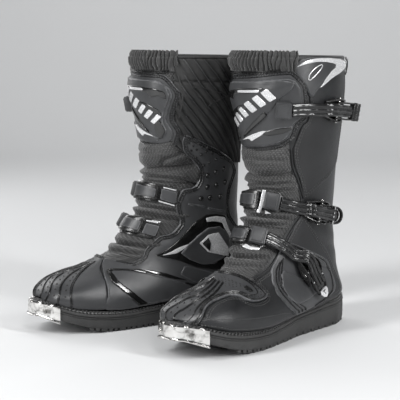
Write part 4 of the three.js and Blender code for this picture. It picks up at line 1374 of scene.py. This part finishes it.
bands = Shape()
plate(
    bands, [(4.66, 12.5), (4.66, 17.5), (5.3, 16), (5.74, 13), (5.72, 8.5), (5.3, 11)], 5.0, 2.6, 0, 1.4,
    0.4, rounds=1, cut=0.14
)
plate(bands, [(5.56, 19), (5.66, 27), (5.72, 20)], 4.3, 2.6, 0, 1.3, 0.3, rounds=1, cut=0.1)
plate(
    bands, [(7.2, 9), (7.3, 15), (7.24, 25), (7.36, 24), (7.44, 14), (7.36, 5)], 4.9, 2.6, 0, 1.3, 0.35,
    rounds=1, cut=0.12
)
for way in (
    [(4.79, -52), (4.77, -37), (4.83, -37), (4.85, -52)],
    [(5.46, -52), (5.43, -34), (5.49, -34), (5.52, -52)],
    [(6.34, -39), (6.42, -26), (6.48, -26), (6.42, -39)],
    [(6.3, -41), (6.36, -32), (6.42, -33), (6.36, -41)],
):
    plate(bands, way, 4.9, 2.6, 0, 1.3, 0.3, rounds=0)
place_pair("carrier_silver", bands, [silver])

# ---- Buckles, in the frames that the CAD source hangs them on ----
BUCKLES = [
    (
        "top", (1.56, 33), [(1.57, 53), (1.58, 66), (1.6, 78)], (1.63, 94), (1.69, 130), 5.6, 0.8, 7.6,
        "barrel"
    ),
    (
        "middle", (5.14, 25), [(5.17, 44), (5.18, 57), (5.17, 68)], (5.16, 83), (5.13, 124), 3.8, 1.0, 5.0,
        "ring"
    ),
    (
        "lower", (6.76, 18), [(6.82, 36), (6.95, 47), (7.12, 55)], (7.55, 67), (8.62, 85), 4.6, 6.8, 8.8,
        "spear"
    ),
]
PIN_HEIGHT = 6.0
BARREL_CENTRE = (35.0, 7.6)


class Frame:
    """t along the strap, n outwards, a across."""

    def __init__(self, place, towards, lift):
        s, d = (np.array(v, float) for v in place)
        self.n = normal(s, d)
        t = surface(*[np.array(v, float) for v in towards]) - surface(s, d)
        self.t = unit(t - self.n * np.dot(t, self.n))
        self.a = np.cross(self.t, self.n)
        self.origin = skin(s, d, np.array(float(lift)))

    def at(self, tna):
        tna = np.asarray(tna, float)
        return self.origin + tna[..., 0:1] * self.t + tna[..., 1:2] * self.n + tna[..., 2:3] * self.a

    def side(self, points):
        """Profile in t and n, depth across."""
        return self.at(points)

    def plan(self, points):
        """Outline in t and a as seen from outside, depth outwards."""
        return self.at(points[:, [0, 2, 1]])


def curve_through(points, steps):
    """A centripetal Catmull-Rom curve, evenly in its parameter."""
    p = np.asarray(points, float)
    ends = np.vstack([2 * p[0] - p[1], p, 2 * p[-1] - p[-2]])
    made = []
    for u in np.linspace(0, len(p) - 1, steps):
        i = min(int(u), len(p) - 2)
        w = u - i
        x0, x1, x2, x3 = ends[i : i + 4]
        dt0, dt1, dt2 = (max(np.linalg.norm(b - a) ** 0.5, 1e-4) for a, b in ((x0, x1), (x1, x2), (x2, x3)))
        t1 = ((x1 - x0) / dt0 - (x2 - x0) / (dt0 + dt1) + (x2 - x1) / dt1) * dt1
        t2 = ((x2 - x1) / dt1 - (x3 - x1) / (dt1 + dt2) + (x3 - x2) / dt2) * dt1
        made.append(
            x1 + t1 * w + (-3 * x1 + 3 * x2 - 2 * t1 - t2) * w**2 + (2 * x1 - 2 * x2 + t1 + t2) * w**3
        )
    return np.array(made)


def disc(shape, frame_, radius, a0, a1, centre=(0, PIN_HEIGHT), look=0, sides=20, bevel=0.35):
    outline = [
        (
            centre[0] + radius * math.cos(k * 2 * math.pi / sides),
            centre[1] + radius * math.sin(k * 2 * math.pi / sides)
        )
        for k in range(sides)
    ]
    prism(shape, outline, frame_.side, a0, a1, bevel, look, 2)


def rail_path(frame_, points, steps=26):
    path = frame_.at(curve_through(points, steps))
    return path, np.repeat(frame_.n[None], len(path), 0)


for name, keeper_at, via, pin_at, tip_at, keeper_lift, base_lift, via_lift, style in BUCKLES:
    keeper, pin = Frame(keeper_at, via[0], keeper_lift), Frame(pin_at, tip_at, base_lift)

    # keeper: a bevelled block with a raised cap, a slot mouth and two side ribs
    block = Shape()
    side = [(-8, -2.4), (8, -2.4), (8, 5.6), (6.4, 7.0), (-6.4, 7.0), (-8, 5.6)]
    prism(block, side, keeper.side, -8.8, 8.8, 0.7)
    cap = [(-6.6, 6.4), (6.2, 6.4), (5.6, 8.1), (-6.0, 8.1)]
    prism(block, cap, keeper.side, -7.4, 7.4, 0.6)
    mouth = [(7.2, 1.2), (9.3, 1.7), (9.3, 5.6), (7.2, 6.1)]
    prism(block, mouth, keeper.side, -8.1, 8.1, 0.5)
    for a in (-9.3, 8.5):
        prism(block, [(-6, 0.4), (6, 0.4), (6, 4.2), (-6, 4.2)], keeper.side, a, a + 0.8, 0.3)
    place_pair(f"{name}_keeper", block, [moulded], [f"{name}_keeper"], sharp=30)

    # base: a bow-shaped plate with arched wings either side of the strap, and pin bosses
    base = Shape()
    half = [
        (-21, 4.4), (-19, 7.2), (-13, 9.6), (-7, 12.0), (0, 12.9), (8, 12.8), (13, 11.6), (17, 9.2),
        (18.5, 5.0)
    ]
    outline = half + [(t, -a) for t, a in half[::-1]]
    prism(base, outline, pin.plan, 0.0, 1.8, 0.5)
    for sign in (-1, 1):
        line = [
            (-20, 1.2, 7.6 * sign), (-14, 2.6, 9.4 * sign), (-7, 4.6, 11.2 * sign), (0, 5.2, 12.0 * sign),
            (7, 4.6, 12.0 * sign), (13, 2.8, 11.0 * sign), (17, 1.4, 9.4 * sign)
        ]
        path, ups = rail_path(pin, line, 30)
        u = np.linspace(0, 1, 30)
        height = 1.6 + 8.0 * np.sin(np.pi * np.clip(u, 0, 1)) ** 0.7
        sweep(base, path, ups, 1.9, height, 0, 12, 4)
        crest = [(t, 2 * n - 0.2, a * 0.985) for t, n, a in line]
        path, ups = rail_path(pin, crest, 30)
        sweep(base, path, ups, 1.2, 1.0, 0, 8, 2)
        disc(base, pin, 3.0, sign * 12.4 - 0.5, sign * 12.4 + 0.9)
    place_pair(f"{name}_buckle_base", base, [nylon], [f"{name}_buckle_base"], sharp=35)

    # pin: a steel rod with domed heads
    rod = Shape()
    disc(rod, pin, 1.4, -12.9, 12.9, sides=16, bevel=0.3)
    for a0, a1 in ((12.7, 13.7), (-13.7, -12.7)):
        disc(rod, pin, 2.1, a0, a1, sides=16, bevel=0.4)
    place_pair(f"{name}_lever_pin", rod, [steel], [f"{name}_lever_pin"], sharp=50)

    # strap: a flat core with three rails whose tops rise and fall, ladder teeth between them
    start = keeper.at([10.2, 3.42, 0])
    way = [start] + [skin(*[np.array(v, float) for v in p], np.array(float(via_lift))) for p in via]
    way += [pin.at([t, 9.4, 0]) for t in (-14, 4, 25)]
    ups = [keeper.n] + [normal(*[np.array(v, float) for v in p]) for p in via] + [pin.n] * 3
    steps = 90
    path = curve_through(way, steps)
    u = np.linspace(0, len(ups) - 1, steps)
    index = np.minimum(u.astype(int), len(ups) - 2)
    blend = (u - index)[:, None]
    ups = unit(np.array(ups)[index] * (1 - blend) + np.array(ups)[index + 1] * blend)
    along = unit(np.gradient(path, axis=0))
    across = unit(np.cross(along, ups))
    up = np.cross(across, along)
    gone = np.concatenate([[0], np.cumsum(np.linalg.norm(np.diff(path, axis=0), axis=1))])
    strap = Shape()
    nose = np.clip((gone[-1] - gone) / 7.0, 0, 1) ** 0.5
    sweep(strap, path, up, 13.6 * np.clip(nose, 0.45, 1), 1.9, 0, 14, 5)
    for offset in (-4.7, 0.0, 4.7):
        swell = ease(np.cos((gone / 17.0 + offset * 0.07) * 2 * math.pi), -1.0, 0.2)
        lift = 1.0 + 0.4 * swell
        keep = gone < gone[-1] - 3.5
        centre = path + across * offset + up * lift[:, None]
        sweep(strap, centre[keep], up[keep], 2.9 + 0.25 * swell[keep], 1.9, 0, 10, 2.4)
    teeth_at = np.arange(5.0, gone[-1] - 5, 3.9)
    for at in teeth_at:
        k = int(np.searchsorted(gone, at))
        for offset in (-2.35, 2.35):
            bar = np.array(
                [path[k] + across[k] * (offset - 1.1), path[k] + across[k] * (offset + 1.1)]
            ) + up[k] * 0.75
            sweep(strap, bar, np.repeat(up[k][None], 2, 0), 1.5, 0.8, 0, 6, 3)
    place_pair(
        f"{name}_strap", strap, [strap_look], [f"{name}_strap"], f"{name}_strap", sharp=40
    )

    # lever: two arms from the pin to a tip whose form differs from buckle to buckle
    lever = Shape()
    for sign in (-1, 1):
        disc(lever, pin, 3.7, sign * 8.7 - 1.0, sign * 8.7 + 1.0, bevel=0.4)
        if style == "ring":
            line = [
                (0, 6, 8.7), (9, 7.0, 8.9), (18, 7.6, 9.2), (26, 7.8, 9.0), (32, 7.8, 6.9),
                (35.6, 7.8, 3.4), (36.4, 7.8, 0)
            ]
        elif style == "spear":
            line = [(0, 6, 8.7), (8, 6.9, 8.8), (16, 7.2, 8.8), (24, 7.2, 8.2), (31, 7.0, 5.6)]
        else:
            line = [(0, 6, 8.7), (8, 7.6, 8.8), (16, 8.0, 9.0), (24, 7.2, 8.9), (31, 6.3, 8.4)]
        path, ups = rail_path(pin, [(t, n, a * sign) for t, n, a in line], 26)
        thick = np.interp(np.linspace(0, 1, 26), [0, 0.25, 0.6, 1], [5.4, 4.4, 4.6, 4.2])
        sweep(lever, path, ups, 2.1, thick, 0, 12, 3.6)
    extra = Shape()
    if style == "barrel":
        prism(
            lever, [(28.6, 3.6), (34, 3.6), (34, 9.2), (32, 10.2), (29.6, 10), (28.6, 9)], pin.side, -9.4,
            9.4, 0.7
        )
        disc(lever, pin, 5.4, -9.8, 9.8, BARREL_CENTRE, sides=28, bevel=0.9)
        for a in (-7.2, -2.4, 2.4, 7.2):
            disc(lever, pin, 5.75, a - 0.8, a + 0.8, BARREL_CENTRE, sides=28, bevel=0.35)
        disc(extra, pin, 2.3, -10.3, 10.3, BARREL_CENTRE, sides=18, bevel=0.4)
    elif style == "ring":
        prism(lever, [(18, 5.2), (24, 5.2), (24.6, 9.4), (22, 10.6), (18.6, 10.4)], pin.side, -9.6, 9.6, 0.6)
        for a0, a1 in ((-9.8, -7.6), (7.6, 9.8)):
            prism(lever, [(12.4, 5.0), (14.6, 5.0), (14.6, 11.0), (12.4, 11.0)], pin.side, a0, a1, 0.4)
        prism(extra, [(18.9, 10.3), (20.1, 10.3), (20.1, 11.1), (18.9, 11.1)], pin.side, -9.7, 9.7, 0.25)
        rim = [
            (25.5, 8.9, 9.0), (32, 8.9, 7.2), (36.2, 8.9, 3.4), (37, 8.9, 0), (36.2, 8.9, -3.4),
            (32, 8.9, -7.2), (25.5, 8.9, -9.0)
        ]
        path, ups = rail_path(pin, rim, 34)
        sweep(extra, path, ups, 1.1, 1.0, 0, 8, 2)
        prism(
            lever, [(24, -8.4), (31.5, -6.2), (34.2, -2.4), (34.2, 2.4), (31.5, 6.2), (24, 8.4)], pin.plan,
            4.6, 6.2, 0.5
        )
    else:
        spear = [(28.0, 7.6), (32, 6.6), (36, 3.6), (37.2, 0.8)]
        prism(lever, spear + [(t, -a) for t, a in spear[::-1]], pin.plan, 4.4, 7.0, 0.8)
        for a0, a1 in ((-9.4, -7.7), (7.7, 9.4)):
            prism(lever, [(14, 4.6), (19, 4.6), (19, 9.8), (14, 9.8)], pin.side, a0, a1, 0.5)
        tongue = [(28, 5.6), (31.5, 6.4), (36.4, 3.9), (38.6, 0.9)]
        prism(extra, tongue + [(t, -a) for t, a in tongue[::-1]], pin.plan, 6.8, 9.4, 0.9, 0)
        prism(lever, [(29.3, -2.2), (35.2, 0.0), (29.3, 2.2)], pin.plan, 9.1, 9.75, 0.2)
        prism(extra, [(30.3, -1.3), (33.7, 0.0), (30.3, 1.3)], pin.plan, 9.6, 10.1, 0.2)
        for sign in (-1, 1):
            prism(
                extra, [(12.2, 6.8), (13.6, 6.8), (13.6, 10.0), (12.2, 10.0)], pin.side, sign * 8.4 - 0.7,
                sign * 8.4 + 0.7, 0.3
            )
    place_pair(
        f"{name}_lever", lever, [nylon], [f"{name}_lever"], f"{name}_lever", sharp=38
    )
    place_pair(
        f"{name}_lever_trim", extra, [silver if style != "barrel" else gloss],
        (), f"{name}_lever", sharp=38
    )

# ---- Sole: y, lateral half width, medial half width, height of the bedding face ----
SOLE_ROWS = np.array(
    [
        [78, 20, 18, 30.4],
        [74, 27, 25, 30.4],
        [66, 32.5, 31, 29.8],
        [44, 40.5, 36, 28.3],
        [20, 41, 37, 27.2],
        [-34, 42, 39, 23.9],
        [-60, 46, 41, 21.8],
        [-100, 51, 44, 19.3],
        [-135, 50, 44, 21.1],
        [-160, 44, 40, 25.2],
        [-176, 36, 34, 30],
        [-188, 25, 24, 33.6],
        [-195, 14, 13, 34.6],
        [-199, 6, 6, 35],
    ],
    float,
)
SOLE_LATERAL, SOLE_MEDIAL = 1, 2


def toe_spring(y):
    reach = np.clip((-110 - y) / 85, 0, 1)
    return 21 * reach * reach


def sole_line(count):
    """Points round the sole's edge with the bedding height: x, y, z; and unit vectors out of it."""
    lateral = np.stack([SOLE_ROWS[:, 1], SOLE_ROWS[:, 0], SOLE_ROWS[:, 3]], 1)
    medial = np.stack([-SOLE_ROWS[:, 2], SOLE_ROWS[:, 0], SOLE_ROWS[:, 3]], 1)[::-1]
    ring = np.vstack([lateral, medial])
    n = len(ring)
    fine = []
    for i in range(n):
        p0, p1, p2, p3 = (ring[(i + k) % n] for k in (-1, 0, 1, 2))
        for u in np.linspace(0, 1, 14, endpoint=False):
            m1, m2 = 0.42 * (p2 - p0), 0.42 * (p3 - p1)
            short = np.linalg.norm(p2 - p1)
            m1 *= min(1, short / max(np.linalg.norm(m1), 1e-6))
            m2 *= min(1, short / max(np.linalg.norm(m2), 1e-6))
            h = (2 * u**3 - 3 * u**2 + 1, u**3 - 2 * u**2 + u, -2 * u**3 + 3 * u**2, u**3 - u**2)
            fine.append(h[0] * p1 + h[1] * m1 + h[2] * p2 + h[3] * m2)
    fine = np.array(fine + [fine[0]])
    gone = np.concatenate([[0], np.cumsum(np.linalg.norm(np.diff(fine[:, :2], axis=0), axis=1))])
    at = np.linspace(0, gone[-1], count, endpoint=False)
    line = np.stack([np.interp(at, gone, fine[:, k]) for k in range(3)], 1)
    along = np.roll(line[:, :2], -1, axis=0) - np.roll(line[:, :2], 1, axis=0)
    out = unit(np.stack([-along[:, 1], along[:, 0]], 1))
    centre = line[:, :2].mean(0)
    if np.sum(out * (line[:, :2] - centre)) < 0:
        out = -out
    return line, out, at


def ring_at(line, out, outset, z):
    xy = line[:, :2] + out * np.asarray(outset, float).reshape(-1, 1)
    return np.column_stack([xy, np.broadcast_to(z, len(line))])


def loft_rings(shape, rings, look=0, caps=True):
    n = len(rings[0])
    faces = []
    flip = np.sum(
        rings[0][:, 0] * np.roll(rings[0][:, 1], -1) - rings[0][:, 1] * np.roll(rings[0][:, 0], -1)
    ) > 0
    for i in range(len(rings) - 1):
        for k in range(n):
            j = (k + 1) % n
            f = (i * n + k, i * n + j, (i + 1) * n + j, (i + 1) * n + k)
            faces.append(f if flip else f[::-1])
    if caps:
        low, high = tuple(range(n)), tuple(range((len(rings) - 1) * n, len(rings) * n))
        faces += [low[::-1], high] if flip else [low, high[::-1]]
    shape.add(np.vstack(rings), faces, look)


line, out, gone = sole_line(420)
spring = toe_spring(line[:, 1])
bed = line[:, 2]
side_top = bed - 4.2
sole = Shape()
wavy = 0.25 * np.sin(gone * 0.31) * np.sin(gone * 0.047)
rings = [
    ring_at(line, out, -2.6, spring + 3.0),
    ring_at(line, out, -0.6, spring + 3.4),
    ring_at(line, out, 0.0 + wavy, spring + 4.6),
    ring_at(line, out, 0.15, (spring + side_top) / 2),
    ring_at(line, out, 0.0, side_top - 2.6),
    ring_at(line, out, -0.55, side_top - 2.1),
    ring_at(line, out, -0.55, side_top - 1.5),
    ring_at(line, out, 0.35, side_top - 1.1),
    ring_at(line, out, 0.45, side_top - 0.4),
    ring_at(line, out, -0.1, side_top),
    ring_at(line, out, -7.0, side_top),
]
loft_rings(sole, rings)


def half_width(y, column):
    return np.interp(-y, -SOLE_ROWS[:, 0], SOLE_ROWS[:, column])


def lug(y0, y1, x0, x1, deep):
    """A tread block between two y values; x0 and x1 give its sides as functions of y."""
    profile = [(x0(y0), y0), (x1(y0), y0), (x1(y1), y1), (x0(y1), y1)]

    def settle(p):
        q = p.copy()
        q[:, 2] = q[:, 2] + toe_spring(q[:, 1])
        return q

    prism(sole, profile, settle, 0.0, deep, 0.55, 0, 1)


TREAD_HEEL, TREAD_TOE = 73.0, -150
TREAD_GAP = 1.9
SIDE_LUG_DEPTH, MIDDLE_LUG_DEPTH = 4.4, 3.9
y = TREAD_HEEL
turn = 0
while y > TREAD_TOE:
    size = 4.6 if turn % 3 else 7.4
    y1 = y - size
    for sign, column in ((1, SOLE_LATERAL), (-1, SOLE_MEDIAL)):
        edge = lambda v, c=column, s=sign: s * (half_width(v, c) - 0.3 - 0.5 * (turn % 2))
        inner_edge = lambda v, c=column, s=sign: s * (half_width(v, c) - 13 - 2 * (turn % 2))
        pair = (inner_edge, edge) if sign > 0 else (edge, inner_edge)
        lug(y1, y, *pair, SIDE_LUG_DEPTH)
    if turn % 2 == 0:
        for x0, x1 in ((-17.0, -7.5), (-5.0, 5.0), (7.5, 17.0)):
            lug(y1 - 2.5, y, lambda v, x=x0: x, lambda v, x=x1: x, MIDDLE_LUG_DEPTH)
    y = y1 - TREAD_GAP
    turn += 1
place_pair("outsole", sole, [rubber], ["outsole"], sharp=28)

# Welt: a rounded strip with a groove that carries two rows of locked thread.
welt = Shape()
strip = [
    ring_at(line, out, -7.2, side_top + 0.2),
    ring_at(line, out, -0.6, side_top + 0.2),
    ring_at(line, out, -0.05, side_top + 0.9),
    ring_at(line, out, -0.05, bed - 1.6),
    ring_at(line, out, -0.7, bed - 0.6),
    ring_at(line, out, -1.2, bed - 0.7),
    ring_at(line, out, -1.5, bed - 1.1),
    ring_at(line, out, -3.0, bed - 0.2),
    ring_at(line, out, -5.4, bed + 1.4),
    ring_at(line, out, -6.2, bed + 2.6),
    ring_at(line, out, -8.6, bed + 3.0),
]
loft_rings(welt, strip, caps=False)
place_pair("welt", welt, [rubber], ["welt"], sharp=32)

knots = Shape()
pitch = 4.3
count = int(gone[-1] / pitch)
for inset, rise, lean, start in ((-2.0, 0.5, 0.55, 0.0), (-4.0, 1.8, -0.55, 0.5)):
    at = (np.arange(count) + start) * (gone[-1] / count)
    near = lambda values: np.interp(at, np.append(gone, gone[-1] + pitch), np.append(values, values[0]))
    centres = np.stack(
        [near(line[:, 0] + out[:, 0] * inset), near(line[:, 1] + out[:, 1] * inset), near(bed + rise)], 1
    )
    o = unit(np.stack([near(out[:, 0]), near(out[:, 1]), 0 * at], 1))
    tangent = np.cross(o, [0.0, 0.0, 1.0])
    along = unit(tangent + (o - [0, 0, 0.6]) * lean)
    ups = unit(o * 0.5 + [0.0, 0.0, 0.85])
    capsules(knots, centres, along, ups, 4.2, 1.2, 0, 8)
place_pair("welt_stitching", knots, [thread])

# Footbed, with a raised arch.
bed_shape = Shape()
footbed_rows = SOLE_ROWS[3:9]
loops = []
for row_y, lateral, medial, z in footbed_rows:
    low = z + 11.4
    xs = np.linspace(-medial + 15, lateral - 15, 9)
    arch = 1.2 * np.exp(-(((row_y + 10) / 40) ** 2))
    crown = [(x, row_y, low + 3.2 + arch * (1 if x < 0 else 0.2) - 0.9 * math.cos(x / 14)) for x in xs]
    under = [(x, row_y, low) for x in xs[::-1]]
    loops.append(np.array(crown + under))
n = len(loops[0])
faces = []
for i in range(len(loops) - 1):
    for k in range(n):
        j = (k + 1) % n
        faces.append((i * n + k, (i + 1) * n + k, (i + 1) * n + j, i * n + j))
faces.append(tuple(range(n)))
faces.append(tuple(range((len(loops) - 1) * n, len(loops) * n))[::-1])
bed_shape.add(np.vstack(loops), [f[::-1] for f in faces])
place_pair("footbed", bed_shape, [foam_look], ["footbed"], sharp=50)

# Toe plate: bent steel with a rolled lower lip, three claws over the welt and a dented face.
plate_shape = Shape()
PLATE_START_Y = -179
PLATE_TOP = 18.5
front = np.where(line[:, 1] < PLATE_START_Y)[0]
order = front[np.argsort(gone[front])]
l, o = line[order], out[order]
low = toe_spring(l[:, 1]) - 0.5
high = l[:, 2] + 0.6
dent = 0.12 * noise3(np.column_stack([l[:, :2], low]), 0.16)
profile = [
    (0.5, 0.0), (2.6, 0.0), (3.0, 0.4), (3.0, 1.6), (2.5, 2.6), (2.3, 4.0), (2.75, 7.0), (2.8, 12.0),
    (2.3, 15.5),
    (2.8, 17.5), (2.6, 18.4), (1.2, PLATE_TOP), (0.5, 18.0),
]
section = []
span = high - low
for offset, z in profile:
    height = low + span * z / PLATE_TOP
    wobble = dent if 3 < z < 17 else 0 * dent
    section.append(ring_at(l, o, offset + wobble, height))
section = np.stack(section, 1)
m, k_count = section.shape[:2]
faces = []
for i in range(m - 1):
    for k in range(k_count):
        j = (k + 1) % k_count
        faces.append((i * k_count + k, i * k_count + j, (i + 1) * k_count + j, (i + 1) * k_count + k))
faces.append(tuple(range(k_count))[::-1])
faces.append(tuple(range((m - 1) * k_count, m * k_count)))
middle = section[m // 2]
test = np.cross(middle[6] - middle[4], section[m // 2 + 1][5] - middle[5])
if np.dot(test, [*o[m // 2], 0]) < 0:
    faces = [f[::-1] for f in faces]
plate_shape.add(section.reshape(-1, 3), faces)
lip_path = ring_at(l, o, 3.0, low + 0.9)
sweep(plate_shape, lip_path, np.repeat([[0, 0, 1.0]], m, 0), 2.4, 1.7, 0, 10, 2.2)
for share in (0.1, 0.3, 0.5, 0.7, 0.9):
    i = int(share * (m - 1))
    base_point = np.array([l[i, 0], l[i, 1], high[i]])
    direction = np.array([o[i, 0], o[i, 1], 0])
    side_way = np.cross(direction, [0, 0, 1.0])
    claw = np.array(
        [
            base_point + direction * 2.0 + [0, 0, -1.0], base_point + direction * 1.0 + [0, 0, 0.7],
            base_point - direction * 1.6 + [0, 0, 0.7], base_point - direction * 3.2 + [0, 0, -0.2]
        ]
    )
    path = curve_through(claw, 9)
    away = unit(np.cross(side_way[None], np.gradient(path, axis=0)))
    sweep(plate_shape, path, away, 4.6, 1.3, 0, 10, 4)
place_pair("toe_plate", plate_shape, [steel], ["toe_plate"], sharp=35)
screws = Shape()
for share in (0.2, 0.8):
    i = int(share * (m - 1))
    direction = np.array([o[i, 0], o[i, 1], 0])
    middle = np.array([l[i, 0], l[i, 1], (low[i] + high[i]) / 2]) + direction * 2.7
    side_way = np.cross(direction, [0, 0, 1.0])
    turn_to = lambda p, c=middle, d=direction, s=side_way: c + p[:, 0:1] * s + p[:, 1:2] * np.array(
        [0, 0, 1.0]
    ) + p[:, 2:3] * d
    ring = [(2.4 * math.cos(a), 2.4 * math.sin(a)) for a in np.linspace(0, 2 * math.pi, 18, endpoint=False)]
    prism(screws, ring, turn_to, 0.0, 0.9, 0.35)
    hexagon = [(1.1 * math.cos(a), 1.1 * math.sin(a)) for a in np.linspace(0, 2 * math.pi, 6, endpoint=False)]
    prism(screws, hexagon, turn_to, 0.8, 1.05, 0.1)
place_pair("toe_plate_screws", screws, [steel], sharp=30)

# ---- Any CAD node still shown gets a finish of its own ----
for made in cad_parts.values():
    if not made.hide_render:
        made.data.materials.clear()
        made.data.materials.append(moulded)

# ---- Stage: a pale floor that curves up all round ----
floor_mat, tree, shader = new_material("studio_sweep", (0.8, 0.8, 0.8), 0.6, Specular_IOR_Level=0.25)
split = node(tree, "SeparateXYZ")
tree.links.new(place_of(tree), split.inputs["Vector"])
nearer = sum_of(
    tree, "ADD", sum_of(tree, "MULTIPLY", split.outputs["X"], 0.74),
    sum_of(tree, "MULTIPLY", split.outputs["Y"], -0.67)
)
wall = ramp_of(tree, split.outputs["Z"], 0.1, 0.9)
shade = sum_of(tree, "MULTIPLY", ramp_of(tree, nearer, -1.3, 0.5), wall)
tint(tree, shader, shade, (0.61, 0.615, 0.62), (0.24, 0.24, 0.245))
FLOOR_RADIUS, CURVE_RADIUS = 2.1, 1.3
profile = [(0.0, 0.0), (0.8, 0.0), (1.6, 0.0), (FLOOR_RADIUS, 0.0)]
profile += [
    (FLOOR_RADIUS + CURVE_RADIUS * math.sin(a), CURVE_RADIUS - CURVE_RADIUS * math.cos(a))
    for a in np.linspace(0.1, math.pi / 2, 12)
]
profile += [(3.4, 2.2), (3.4, 3.0)]
sides = 96
points = [(0.0, 0.0, 0.0)]
for radius, z in profile[1:]:
    points += [
        (radius * math.cos(2 * math.pi * k / sides), radius * math.sin(2 * math.pi * k / sides), z)
        for k in range(sides)
    ]
faces = [(0, 1 + k, 1 + (k + 1) % sides) for k in range(sides)]
for i in range(len(profile) - 2):
    for k in range(sides):
        j = (k + 1) % sides
        faces.append((1 + i * sides + k, 1 + (i + 1) * sides + k, 1 + (i + 1) * sides + j, 1 + i * sides + j))
mesh = bpy.data.meshes.new("studio")
mesh.from_pydata(points, [], faces)
mesh.materials.append(floor_mat)
mesh.polygons.foreach_set("use_smooth", np.ones(len(mesh.polygons), bool))
studio = bpy.data.objects.new("studio", mesh)
bpy.context.scene.collection.objects.link(studio)

world = bpy.data.worlds.new("studio_air")
bpy.context.scene.world = world
world.use_nodes = True
world.node_tree.nodes["Background"].inputs["Color"].default_value = (0.9, 0.92, 0.95, 1)
world.node_tree.nodes["Background"].inputs["Strength"].default_value = 0.12

CAMERA_AZIMUTH = math.radians(48)
CAMERA_DISTANCE = 1.437
CAMERA_HEIGHT = 0.323
TARGET_Y = PAIR_CENTRE_Y * MM
forward = Vector((-math.sin(CAMERA_AZIMUTH), math.cos(CAMERA_AZIMUTH), 0))
right = Vector((math.cos(CAMERA_AZIMUTH), math.sin(CAMERA_AZIMUTH), 0))
eye = Vector((0, TARGET_Y, CAMERA_HEIGHT)) - forward * CAMERA_DISTANCE
CAMERA_YAW = math.radians(1.673846)
CAMERA_PITCH = math.radians(7.259713)
SENSOR_WIDTH = 36
LENS = 113.04
flat = forward * math.cos(CAMERA_YAW) - right * math.sin(CAMERA_YAW)
right = right * math.cos(CAMERA_YAW) + forward * math.sin(CAMERA_YAW)
look = flat * math.cos(CAMERA_PITCH) - Vector((0, 0, 1)) * math.sin(CAMERA_PITCH)
up = right.cross(look)
camera = bpy.data.objects.new("camera", bpy.data.cameras.new("camera"))
bpy.context.scene.collection.objects.link(camera)
camera.data.sensor_width = SENSOR_WIDTH
camera.data.lens = LENS
camera.data.clip_end = 20
basis = Matrix((right, up, -look)).transposed().to_4x4()
basis.translation = eye
camera.matrix_world = basis
bpy.context.scene.camera = camera


def softbox(name, azimuth, height, distance, width, tall, power, target=(0, 0.03, 0.15), colour=(1, 1, 1)):
    """An area light at an azimuth measured from the camera's side of the object, positive to its right."""
    angle = CAMERA_AZIMUTH + math.radians(azimuth)
    data = bpy.data.lights.new(name, "AREA")
    data.shape = "RECTANGLE"
    data.size, data.size_y = width, tall
    data.energy = power
    data.color = colour
    lamp = bpy.data.objects.new(name, data)
    bpy.context.scene.collection.objects.link(lamp)
    lamp.location = Vector((math.sin(angle) * distance, TARGET_Y - math.cos(angle) * distance, height))
    lamp.rotation_mode = "QUATERNION"
    lamp.rotation_quaternion = (Vector(target) - lamp.location).to_track_quat("-Z", "Y")
    return lamp


softbox("key", -50, 1.0, 1.5, 0.34, 1.3, 31)
softbox("strip", 50, 0.85, 1.5, 0.2, 1.2, 24)
softbox("front", 12, 1.5, 1.9, 0.5, 0.5, 13)
softbox("overhead", 178, 2.1, 0.5, 1.3, 1.3, 6)
softbox("rim_left", -135, 0.9, 1.4, 0.4, 1.3, 7)
softbox("rim_right", 140, 0.9, 1.4, 0.2, 1.3, 3)
softbox("backdrop", 180, 1.9, 1.8, 1.8, 0.7, 19, target=(-2.3, 2.1, 0.2))
bpy.context.scene.view_settings.view_transform = "Standard"
bpy.context.scene.view_settings.exposure = 0.0
